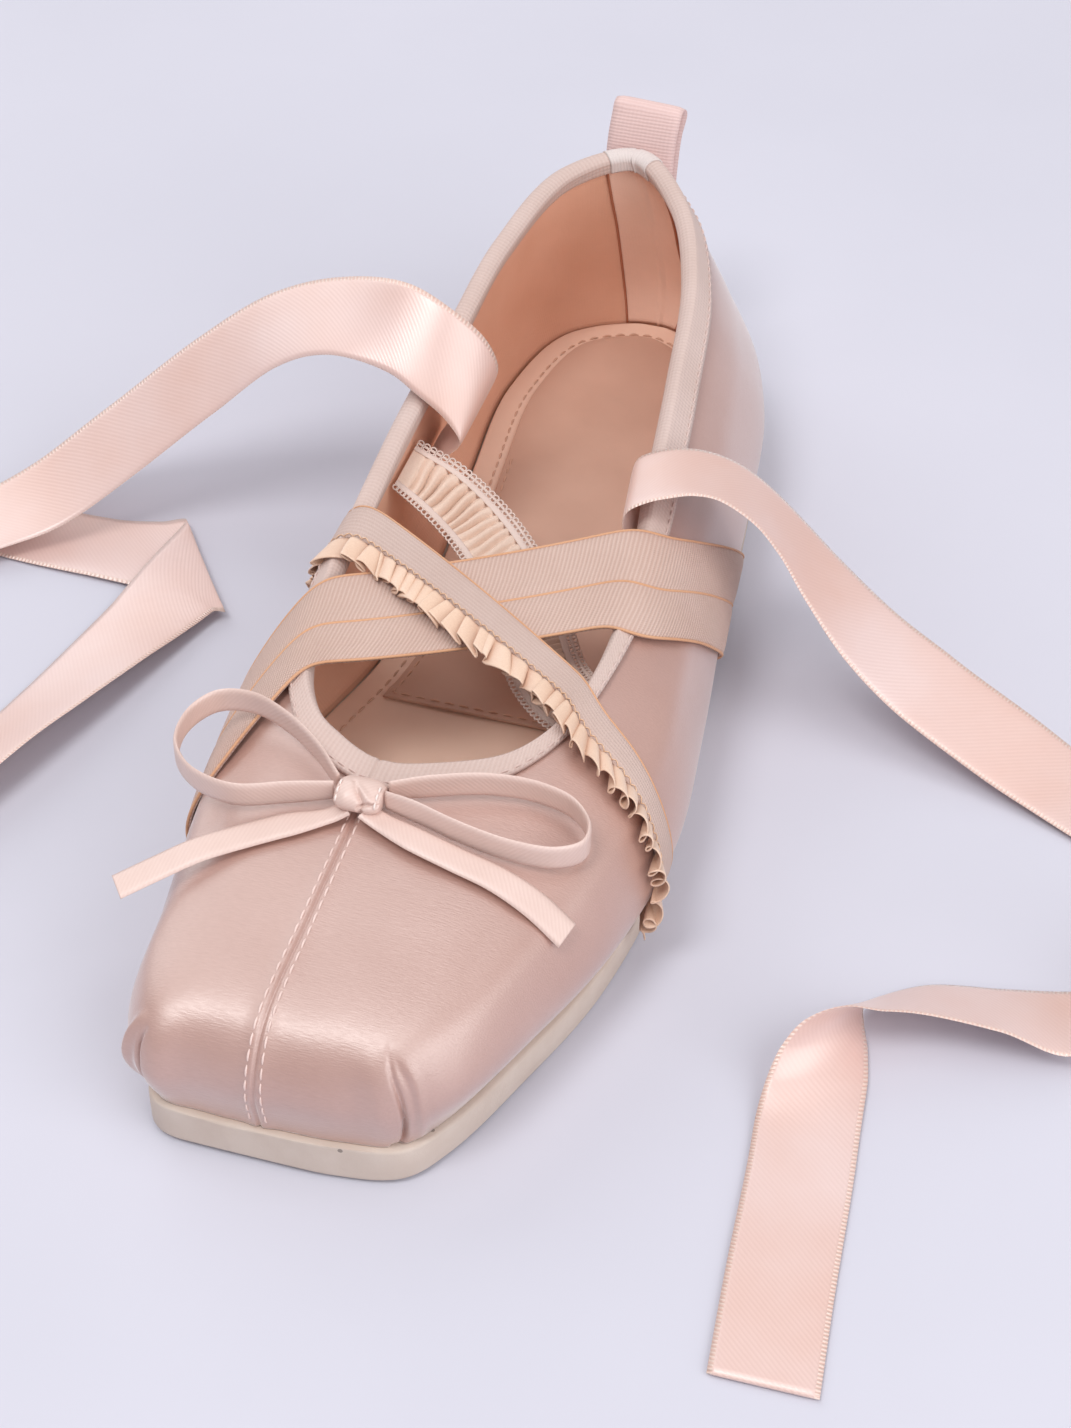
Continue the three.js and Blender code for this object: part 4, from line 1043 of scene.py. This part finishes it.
def add_knot():
    along = np.linspace(-1, 1, KNOT_RINGS)[:, None]
    degrees = np.arange(0, 360, KNOT_STEP)[None]
    plain, direction = knot_point(along, degrees + 0 * along)
    step = np.zeros(plain.shape[:2])
    for spread, points in KNOT_FOLDS:
        table = fold_table(points, KNOT_FOLD_POINTS)
        line, _ = knot_point(table[:, 0] / KNOT_HALF[0], table[:, 1])
        step += fold_steps(plain, spread, line, table[:, 2])
    grid = KNOT_AT + plain + direction * step[..., None]
    uv = np.stack(np.broadcast_arrays(along * KNOT_HALF[0], np.radians(degrees) * KNOT_HALF[1]), axis=-1)
    wrap = make_piece(
        "knot_wrap", grid.reshape(-1, 3), tube_faces(grid), [BOW_SATIN], uv.reshape(-1, 2),
        node="bow_knot", sharp=50,
    )
    mesh = ThreadMesh()
    turn = np.linspace(*KNOT_STITCHES["degrees"])
    for end in KNOT_STITCHES["ends"]:
        line, normals = knot_point(end + 0 * turn, turn)
        add_stitches(mesh, KNOT_AT + line + normals * KNOT_STITCHES["lift"], normals, *KNOT_STITCH)
    return [wrap, mesh.piece("knot_stitches", KNOT_THREAD, "bow_cord")]


# Upper: places round it as from, to and step in sections, closer at the seam, the toe's corners and the heel,
# and places up its outside as from, to and their number
UPPER_PLACES = [
    (0, ROUND, 0.1),
    (-0.42, 0.3, 0.013),
    (1.35, 2.8, 0.016),
    (-2.9, -1.35, 0.016),
    (HEEL_ROW - 0.06, HEEL_ROW + 0.06, 0.006),
]
UPPER_UPS = [(0, 0.56, 62), (0.57, 1, 38)]
LINING_UPS = 26


def add_upper():
    places = np.concatenate([np.arange(*steps) for steps in UPPER_PLACES])
    rows = np.unique(np.round(places % ROUND, 3))
    ups = np.concatenate([np.linspace(*steps) for steps in UPPER_UPS])
    outside = wall(rows[:, None], ups[None])
    inside = wall(rows[:, None], np.linspace(1, 0, LINING_UPS)[None], -WALL)
    ring = np.concatenate([outside, inside], axis=1)
    index = np.arange(ring.shape[0] * ring.shape[1]).reshape(ring.shape[:2])
    index = np.hstack([index, index[:, :1]])
    index = np.vstack([index, index[:1]])
    points = ring.reshape(-1, 3)
    lined = np.tile(np.arange(ring.shape[1]) >= outside.shape[1] - 1, len(rows))
    make_piece(
        "upper_satin", points, facing_out(points, quads(index)), [SATIN, LINING],
        grid_uv(ring).reshape(-1, 2), lined.astype(int), node="upper",
    )


# Heel strip: its edges in sections at its foot and at the topline, and where it starts up the wall
HEEL_STRIP = {"foot": (11.78, 12.36), "top": (11.49, 12.50), "low": 0.03, "thick": 0.35, "seam": 0.3}
HEEL_STRIP_GRID = (40, 24)
HEEL_STRIP_TUCKED = 0.02


def add_heel_strip():
    """Strip of paler lining up the back, between two seams."""
    high = binding_low(np.array([HEEL_ROW]), BINDING_INNER_WIDTH)[0] + HEEL_STRIP_TUCKED
    ups = np.linspace(HEEL_STRIP["low"], high, HEEL_STRIP_GRID[0])
    ends = zip(HEEL_STRIP["foot"], HEEL_STRIP["top"])
    start, end = (np.interp(ups, (0, 1), edge)[:, None] for edge in ends)
    rows = between(start, end, np.linspace(0, 1, HEEL_STRIP_GRID[1])[None])
    face = wall(rows, ups[:, None], -WALL - HEEL_STRIP["thick"])
    back = wall(rows, ups[:, None], -WALL - TOUCH)
    sheet_piece("heel_strip", face, back, grid_uv(face), LINING_STRIP)
    mesh = ThreadMesh()
    for edge in (face[:, 0], face[:, -1]):
        mesh.add(edge, -last_normal(rows[:, 0], ups), HEEL_STRIP["seam"])
    mesh.piece("heel_strip_seams", SEAM_SHADE, "satin")


# Stitches of the seam: from, to and number of places up the wall, and a step to each side in sections
SEAM_UPS = (0.03, 0.93, 240)
SEAM_SIDE_STEP = 0.2


def seam_stitches():
    """A row of stitches on each side of the seam down the vamp."""
    mesh = ThreadMesh()
    ups = np.linspace(*SEAM_UPS)
    middle = seam_row(ups)
    for side in (-SEAM_SIDE_STEP, SEAM_SIDE_STEP):
        span = np.linalg.norm(last_point(middle + side, ups) - last_point(middle, ups), axis=-1)
        rows = middle + side * np.interp(ups, (0, 1), SEAM_STITCHES_OFF) / span
        add_stitches(mesh, wall(rows, ups), last_normal(rows, ups), *SEAM_STITCH)
    mesh.piece("seam_stitches", THREAD, "satin")


# Binding: places up the wall that are tried for its edge, its points and the strip over its join
BINDING_UPS = (1, 0.3, 90)
BINDING_POINTS = {"leg": 9, "turn": 11, "stitches": 1200}
BINDING_ROW_STEP = 0.05
BINDING_STITCH_IN = 0.9
JOIN = {"rows": (11.66, 12.46, 30), "width": 4.4, "thick": 0.25}


def binding_low(rows, width):
    """How far up the wall a line lies that runs a width in mm below the topline."""
    ups = np.linspace(*BINDING_UPS)
    runs = lengths_along(last_point(np.asarray(rows)[None, :], ups[:, None]))
    return np.array([np.interp(width, run, ups) for run in runs.T])


def binding_side(rows, offset, width=BINDING_WIDTH):
    """Points of one face of the folded tape, from its outer edge over the topline to its inner edge."""
    leg = np.linspace(0, 1, BINDING_POINTS["leg"])[None]
    low = binding_low(rows, width)[:, None]
    inner_low = binding_low(rows, BINDING_INNER_WIDTH)[:, None]
    outside = wall(rows[:, None], between(low, 1, leg), offset)
    inside = wall(rows[:, None], between(1, inner_low, leg), -WALL - offset)
    edge, out, rise = topline_frame(rows)
    turn = np.linspace(0, np.pi, BINDING_POINTS["turn"])[1:-1]
    level = -WALL / 2 + (WALL / 2 + offset) * np.cos(turn)
    height = offset * np.sin(turn)
    over = edge[:, None] + out[:, None] * level[None, :, None] + rise[:, None] * height[None, :, None]
    return np.concatenate([outside, over, inside], axis=1)


def add_binding():
    rows = HEEL_ROW + np.arange(0, ROUND, BINDING_ROW_STEP)
    face = GAP + BINDING_THICK
    upper = binding_side(rows, face)
    lower = binding_side(rows, GAP)
    sheet_piece(
        "binding_tape", upper, lower, grid_uv(upper), TAPE, endless=True, node="topline_binding",
    )
    join_rows = np.linspace(*JOIN["rows"])
    top = binding_side(join_rows, face + JOIN["thick"], JOIN["width"])
    under = binding_side(join_rows, face + TOUCH, JOIN["width"])
    sheet_piece("binding_join", top, under, grid_uv(top), JOIN_TAPE)
    mesh = ThreadMesh()
    line_rows = HEEL_ROW + np.linspace(0, ROUND, BINDING_POINTS["stitches"])
    ups = binding_low(line_rows, BINDING_WIDTH - BINDING_STITCH_IN)
    add_stitches(mesh, wall(line_rows, ups, face), last_normal(line_rows, ups), *BINDING_STITCH)
    mesh.piece("binding_stitches", EDGE_THREAD, "binding")


# Straps
def strap_wall(back, front, across, ups):
    """Points of a strap's underside from the sole up the wall and over the binding."""
    edges = [open_spline(np.array(edge, float)[:, None], ups) for edge in (back, front)]
    rows = between(*edges, across[None])
    level = np.broadcast_to(ups[:, None], rows.shape)
    low = binding_low(rows.ravel(), BINDING_WIDTH).reshape(rows.shape)
    climb = smooth_step((level - low + STRAP_CLIMB["ahead"]) / STRAP_CLIMB["length"])
    side = wall(rows, level, between(STRAP_LIFT, STRAP_CLEAR, climb))
    edge, out, rise = topline_frame(between(back[-1], front[-1], across))
    lift = STRAP_CLEAR + STRAP_TURN["over"]
    turn = edge + out * STRAP_TURN["outside"] * STRAP_CLEAR + rise * lift
    over = edge - out * STRAP_TURN["inside"] * STRAP_CLEAR + rise * (lift + GAP)
    return np.concatenate([side, turn[None], over[None]])


STRAP_WALL_STEPS = 60


def strap_grid(strap, across, steps):
    """Evenly spaced points of a strap's underside from the lateral sole to the medial sole."""
    ups = np.linspace(STRAP_FOOT, 1, STRAP_WALL_STEPS)
    lateral = strap_wall(strap["lateral_back"], strap["lateral_front"], across, ups)
    medial = strap_wall(strap["medial_back"], strap["medial_front"], across, ups)[::-1]
    w = np.linspace(0, 1, STRAP_WALL_STEPS)[1:-1, None, None]
    bridge = between(lateral[-1], medial[0], w)
    bridge[..., 2] += strap["arch"] * 4 * w[..., 0] * (1 - w[..., 0])
    line = np.concatenate([lateral, bridge, medial])
    even = np.stack([evenly_spaced(line[:, k], steps) for k in range(len(across))], axis=1)
    spacing = lengths_along(even[:, 0])[-1] / steps
    return softened(even, STRAP_SOFT / spacing)


STRAP_STEPS = 300
STRAP_EDGE_THICK = 0.6


def add_strap(name, node, strap, material):
    """A strap of one or more crowned bands side by side; gives its upper face and normals."""
    across = np.linspace(0, 1, strap["columns"])
    lower = strap_grid(strap, across, STRAP_STEPS)
    normal = upward(grid_normals(lower))
    in_band = 2 * ((across * strap["bands"]) % 1) - 1
    in_band[-1] = 1
    thick = STRAP_THICK * between(STRAP_EDGE_THICK, 1, 1 - in_band**EDGE_POWER)
    upper = lower + normal * thick[None, :, None]
    sheet_piece(name, upper, lower, grid_uv(upper), material, node=node)
    return upper, normal


def add_piping(name, strap, upper, normal):
    """Cords along a strap's upper face, at parts of its width."""
    mesh = ThreadMesh(sides=8)
    columns = upper.shape[1] - 1
    for place in strap["piping"]:
        k = min(int(place * columns), columns - 1)
        line = between(upper[:, k], upper[:, k + 1], place * columns - k)
        mesh.add(line, normal[:, k], strap["piping_radius"])
    mesh.piece(name, PIPING, "elastic")


ZIGZAG = {"pitch": 0.95, "width": 0.6, "radius": 0.11, "inset": 0.1, "lift": 0.2, "ends": 1.0}
ZIGZAG_BOW = np.array([-0.1, 0.12, 0.12, -0.1])[:, None]


def add_zigzag(upper, normal):
    """Zigzag of short threads along the narrow strap's front edge, where the frill is sewn on."""
    mesh = ThreadMesh(sides=5)
    edge = upper[:, -1]
    inwards = unit(upper[:, -3] - edge)
    run = lengths_along(edge)
    knots = np.arange(ZIGZAG["ends"], run[-1] - ZIGZAG["ends"], ZIGZAG["pitch"])
    side = ZIGZAG["inset"] + ZIGZAG["width"] * (np.arange(len(knots)) % 2)
    line = edge + normal[:, -1] * ZIGZAG["lift"]
    corners = points_at(line, run, knots) + points_at(inwards, run, knots) * side[:, None]
    ups = points_at(normal[:, -1], run, knots)
    for k in range(len(knots) - 1):
        path = np.linspace(corners[k], corners[k + 1], len(ZIGZAG_BOW))
        mesh.add(path + ups[k] * ZIGZAG_BOW, np.broadcast_to(ups[k], path.shape), ZIGZAG["radius"])
    mesh.piece("strap_zigzag", GOLD_THREAD, "elastic")


# Sole plates: their points, and how many roundings their width and thickness hold at least
PLAN_POINTS = 1600
PLATE_STEPS = 260
PLATE_COLUMNS = 9
PLATE_END = 0.01
PLATE_CORNER = 0.3
PLATE_PARTS = {"across": 4, "up": 2.5}


def plan_line(outset):
    """The feather edge moved outwards in plan, all round from the toe."""
    t = np.linspace(0, 1, PLAN_POINTS, endpoint=False)
    return closed_spline(LINES[0], t) + outward(LINES[0], t) * outset


def side_at(outset, y):
    """Lateral and medial x of an outline in plan at each y."""
    plan = plan_line(outset)
    toe, heel = plan[:, 1].argmin(), plan[:, 1].argmax()
    order = np.roll(np.arange(len(plan)), -toe)
    split = int(np.where(order == heel)[0][0])
    lateral = plan[order[: split + 1]]
    medial = plan[np.concatenate([order[split:], order[:1]])][::-1]
    return np.interp(y, lateral[:, 1], lateral[:, 0]), np.interp(y, medial[:, 1], medial[:, 0])


def add_plate(name, node, outset, front, bottom, top, rounding, material):
    """A plate in plan, with rounded edges, from its front or the outline's toe end to the heel end."""
    ends = plan_line(outset)[:, 1]
    start, end = max(ends.min(), front), ends.max()
    turn = np.linspace(PLATE_END, np.pi - PLATE_END, PLATE_STEPS)
    y = between(start, end, (1 - np.cos(turn)) / 2)
    lateral, medial = side_at(outset, y)
    from_end = np.clip(np.minimum(y - start, end - y) / rounding, 0, 1)
    drawn_in = rounding * (1 - np.sqrt(1 - (1 - from_end) ** 2))
    low, high = bottom(y) + drawn_in, top(y) - drawn_in
    round_x = np.minimum(rounding, (lateral - medial) / PLATE_PARTS["across"])
    round_z = np.minimum(rounding, (high - low) / PLATE_PARTS["up"])
    width = (lateral - medial - 2 * round_x)[:, None]
    inner = (medial + round_x)[:, None] + width * np.linspace(0, 1, PLATE_COLUMNS)[None]

    def face(height):
        level = np.broadcast_to(height[:, None], inner.shape)
        return np.stack([inner, np.broadcast_to(y[:, None], inner.shape), level], axis=-1)

    def side(x, inwards):
        """The rounded edge on one side, from the bottom to the top."""
        near = x + inwards * PLATE_CORNER * round_x
        cut = PLATE_CORNER * round_z
        heights = [(near, low + cut), (x, low + round_z), (x, high - round_z), (near, high - cut)]
        return np.stack([np.stack([across, y, height], axis=-1) for across, height in heights], axis=1)

    ring = np.concatenate(
        [face(low), side(lateral, -1), face(high)[:, ::-1], side(medial, 1)[:, ::-1]], axis=1
    )
    points = ring.reshape(-1, 3)
    make_piece(name, points, tube_faces(ring), [material], points[:, :2], node=node, sharp=55)


def insole_top(y):
    return sole_height(y, "top") + GAP + INSOLE_THICK


INSOLE_STITCHES_IN = 4.8
INSOLE_STITCH_LIFT = 0.08
SOCK_STITCHES_IN = 1.3
SOCK_STITCHES_BACK = 185.0
SOCK_STITCH_LIFT = 0.05
SOCK_POINTS = {"side": 90, "front": 40}


def insole_stitches():
    """The line of stitches round the insole and the one along the sock's front and sides."""
    mesh = ThreadMesh()
    edge = -WALL - GAP
    insole = plan_line(edge - INSOLE_STITCHES_IN)
    insole[:, 2] = insole_top(insole[:, 1]) + INSOLE_STITCH_LIFT
    y = np.linspace(SOCK_STITCHES_BACK, SOCK_FRONT + SOCK_STITCHES_IN, SOCK_POINTS["side"])
    lateral, medial = side_at(edge - SOCK_INSET - SOCK_STITCHES_IN, y)
    front = np.linspace(medial[-1], lateral[-1], SOCK_POINTS["front"])
    x = np.concatenate([medial, front, lateral[::-1]])
    y = np.concatenate([y, np.full(len(front), y[-1]), y[::-1]])
    sock = np.stack([x, y, insole_top(y) + GAP + SOCK_THICK + SOCK_STITCH_LIFT], axis=-1)
    for line, stitch in ((insole, INSOLE_STITCH), (sock, SOCK_STITCH)):
        add_stitches(mesh, line, np.broadcast_to([0.0, 0.0, 1.0], line.shape), *stitch)
    mesh.piece("insole_stitches", TAN_THREAD, "insole")


# Frill: what changes at random along it, by the distance between changes and the lowest and highest value,
# then its tilt, the width and depth of its folds where it is curled and flat, and its lift at root and edge
FRILL_PITCH = (4.0, 2.3, 5.0)
FRILL_SIZE = (3.0, 0.6, 1.4)
FRILL_REACH = (1.8, 0.76, 1.08)
FRILL_SLANT = (4.0, -2.0, 2.0)
FRILL_LEAN = (5.0, 0.6, 1.1)
FRILL_STEPS = 1300
FRILL_COLUMNS = 15
FRILL_THIN = 0.12
FRILL_SAME_WAY = 5.0
FRILL_PHASE = 1.0
FRILL_LEAST_LEAN = 0.2
FRILL_OPEN = {"root": 0.25, "power": 0.7}
FRILL_ROOT = 0.1
FRILL_TILT = (math.radians(18), math.radians(2))
FRILL_WIDE = (1.2, 1.7)
FRILL_DEEP = (1.3, 0.9)
FRILL_LIFT = (0.45, 0.8)
FRILL_CURLED = (30.0, 75.0)


def add_frill():
    """Satin edging gathered into S-shaped folds, curled up on the lateral side and flat further on."""
    pair = strap_grid(NARROW_STRAP, np.array([0.0, 1.0]), FRILL_STEPS)
    root = pair[:, 1]
    out = unit(root - pair[:, 0])
    ahead = unit(np.gradient(root, axis=0))
    up = upward(unit(np.cross(ahead, out)))
    run = lengths_along(root)
    flat = smooth_step((run - FRILL_CURLED[0]) / (FRILL_CURLED[1] - FRILL_CURLED[0]))
    tilt = between(*FRILL_TILT, flat)[:, None]
    rising = out * np.cos(tilt) + up * np.sin(tilt)
    across = up * np.cos(tilt) - out * np.sin(tilt)
    changes = (FRILL_PITCH, FRILL_SIZE, FRILL_REACH, FRILL_SLANT)
    pitch, size, reach, slant = (wander(run, *change) for change in changes)
    side = np.sign(np.sin(run / FRILL_SAME_WAY + FRILL_PHASE))
    lean = side * (FRILL_LEAST_LEAN + flat * wander(run, *FRILL_LEAN))
    wide = between(*FRILL_WIDE, flat)
    deep = between(*FRILL_DEEP, flat)
    turn = np.cumsum(np.gradient(run) * 2 * np.pi / pitch)
    v = np.linspace(0, 1, FRILL_COLUMNS)[None]
    opened = between(FRILL_OPEN["root"], 1, v ** FRILL_OPEN["power"])
    along = (wide * size)[:, None] * opened * np.sin(turn)[:, None] + slant[:, None] * v
    height = between(*FRILL_LIFT, v) + (deep * size)[:, None] * opened * np.cos(turn + lean)[:, None]
    width = FRILL_ROOT + (FRILL_WIDTH - FRILL_ROOT) * v * reach[:, None]
    surface = (
        root[:, None] + rising[:, None] * width[..., None] + across[:, None] * height[..., None]
        + ahead[:, None] * along[..., None]
    )
    lift = grid_normals(surface) * FRILL_THIN
    # The uv runs with the folds' phase, so that painted shade darkens the satin where it turns under
    shade = FRILL_SHADE_PITCH * (0.5 + (turn + lean) / (2 * np.pi))
    uv = np.stack(np.broadcast_arrays(shade[:, None], FRILL_WIDTH * v), axis=-1)
    sheet_piece("frill_ruffle", surface + lift, surface - lift, uv, FRILL, node="strap_frill")


# Lace: its random changes as the frill's, and where its gathers start and how soon they are full
LACE_PITCH = (4.0, 1.4, 4.0)
LACE_SLANT = (5.0, -2.6, 2.6)
LACE_DEPTH = (3.0, 0.4, 1.0)
LACE_FLAT_END = (1.6, 3.0)
LACE_WAVE = 2.6
LACE_GATHER = {"ripple": 0.5, "ripples": 3, "power": 0.55, "sink": 0.8, "edge": 0.5}
LACE_STEPS = 700
LACE_COLUMNS = 21
LACE_MIDDLE = LACE_COLUMNS // 2
LACE_CORE = 0.64
LACE_TAPE = 0.78
LACE_OVERLAP = 0.02
LACE_HALF_THICK = {"core": 0.15, "tape": 0.14}
LACE_TAPE_LIFT = 0.25
PICOT_PITCH = 1.2
PICOT_SIZE = 0.62
PICOT_RADIUS = 0.2
PICOT_ENDS = 0.6
PICOT_POINTS = 13
PICOT_SPAN = 3
PICOT_LEVELS = {"lace_tape_front": (-1, (0.6,)), "lace_tape_back": (1, (0.55, 1.45))}


def add_lace():
    """Gathered satin band with a flat tape and a chain of thread loops along both edges."""
    middle, centre = tape_grid(LACE_ROWS, LACE_STEPS, LACE_COLUMNS)
    normal = upward(grid_normals(middle))
    run = lengths_along(centre)
    side = np.linspace(-1, 1, LACE_COLUMNS)[None]
    turn = np.cumsum(np.gradient(run) * 2 * np.pi / wander(run, *LACE_PITCH))
    slant = wander(run, *LACE_SLANT)
    deep = wander(run, *LACE_DEPTH)
    ripple = LACE_GATHER["ripple"] * np.sin(LACE_GATHER["ripples"] * side)
    crest = np.abs(np.sin((turn[:, None] + slant[:, None] * side + ripple) / 2)) ** LACE_GATHER["power"]
    gathered = smooth_step((run - LACE_FLAT_END[0]) / LACE_FLAT_END[1])
    fading = 1 - LACE_GATHER["edge"] * np.abs(side) ** 3
    wave = LACE_WAVE * (deep * gathered)[:, None] * (crest - LACE_GATHER["sink"]) * fading
    half = middle - centre[:, None]
    core = centre[:, None] + half * LACE_CORE + normal * wave[..., None]
    lift = normal * LACE_HALF_THICK["core"]
    sheet_piece(
        "lace_core", core + lift, core - lift, grid_uv(core), LACE_SATIN, node="lace_band"
    )
    edge_vector = middle[:, -1] - centre
    mesh = ThreadMesh(sides=5)
    turns = np.linspace(0, 2 * np.pi, PICOT_POINTS)[:, None]
    for name, (sign, levels) in PICOT_LEVELS.items():
        places = sign * np.linspace(LACE_CORE - LACE_OVERLAP, LACE_TAPE, 5)
        up = normal[:, LACE_MIDDLE - 2 : LACE_MIDDLE + 3]
        tape = centre[:, None] + edge_vector[:, None] * places[None, :, None] + up * LACE_TAPE_LIFT
        rise = up * LACE_HALF_THICK["tape"]
        sheet_piece(name, tape + rise, tape - rise, grid_uv(tape), LACE_THREAD)
        for place in np.arange(PICOT_ENDS, run[-1] - PICOT_ENDS, PICOT_PITCH):
            k = int(np.searchsorted(run, place))
            facing = normal[k, LACE_MIDDLE]
            out = unit(edge_vector[k]) * sign
            ahead = unit(centre[min(k + PICOT_SPAN, LACE_STEPS - 1)] - centre[max(k - PICOT_SPAN, 0)])
            base = centre[k] + edge_vector[k] * LACE_TAPE * sign + facing * LACE_TAPE_LIFT
            ring = PICOT_SIZE * (np.cos(turns) * ahead + np.sin(turns) * out)
            for level in levels:
                loop = base + out * level + ring
                mesh.add(loop, np.broadcast_to(facing, loop.shape), PICOT_RADIUS)
    mesh.piece("lace_picots", LACE_THREAD, "lace")


# Pull loop, with two rows of stitches across its back leg
PULL_GRID = (160, 13)
PULL_STITCH_ROWS = (140, 154)


def add_pull_loop():
    top = last_point(np.array([HEEL_ROW]), np.array([1.0]))[0]
    rows = [(*(top + np.array(r[:3])), *r[3:]) for r in PULL_LOOP_ROWS]
    middle, _ = tape_grid(rows, *PULL_GRID)
    rounded_sheet("pull_tape_loop", middle, PULL_LOOP_THICK, PULL_TAPE, "pull_loop")
    normal = grid_normals(middle)
    mesh = ThreadMesh()
    for k in PULL_STITCH_ROWS:
        facing = normal[k] if normal[k, PULL_GRID[1] // 2, 1] > 0 else -normal[k]
        add_stitches(mesh, middle[k] + facing * PULL_LOOP_THICK / 2, facing, *PULL_STITCH)
    mesh.piece("pull_stitches", THREAD, "pull_tape")


add_camera()
add_stage()
tie = (RIBBON, RIBBON_SATIN)
add_cord(*tie, "tie_left", "ribbon_left", LEFT_RIBBON_ROWS, LEFT_RIBBON_LENGTH, "bare")
add_cord(*tie, "tie_right", "ribbon_right", RIGHT_RIBBON_ROWS, RIGHT_RIBBON_LENGTH, "bare")
bow = (BOW_CORD, BOW_SATIN)
add_cord(*bow, "loop_left", "bow_loop_left", LEFT_LOOP_ROWS, BOW_LOOP_LENGTH, "knot", add_knot())
add_cord(*bow, "loop_right", "bow_loop_right", RIGHT_LOOP_ROWS, BOW_LOOP_LENGTH, "knot")
add_cord(*bow, "tail_left", "bow_tail_left", LEFT_TAIL_ROWS, BOW_TAIL_LENGTH, "bare")
add_cord(*bow, "tail_right", "bow_tail_right", RIGHT_TAIL_ROWS, BOW_TAIL_LENGTH, "bare")
add_upper()
add_heel_strip()
seam_stitches()
add_binding()
wide = add_strap("strap_wide", "cross_strap_wide", WIDE_STRAP, ELASTIC)
add_piping("wide_piping", WIDE_STRAP, *wide)
narrow = add_strap("strap_narrow", "cross_strap_narrow", NARROW_STRAP, NARROW_ELASTIC)
add_piping("narrow_piping", NARROW_STRAP, *narrow)
add_zigzag(*narrow)
add_frill()
add_lace()
add_pull_loop()
add_plate(
    "sole_unit", "outsole", SOLE_LEDGE, -LENGTH,
    lambda y: sole_height(y, "bottom"), lambda y: sole_height(y, "top"), SOLE_ROUND, RUBBER,
)
add_plate(
    "insole_board", "insole", -WALL - GAP, -LENGTH,
    lambda y: sole_height(y, "top") + GAP, insole_top, INSOLE_ROUND, INSOLE,
)
add_plate(
    "sock_pad", "heel_sock", -WALL - GAP - SOCK_INSET, SOCK_FRONT,
    lambda y: insole_top(y) + GAP, lambda y: insole_top(y) + GAP + SOCK_THICK, SOCK_ROUND, SOCK,
)
insole_stitches()
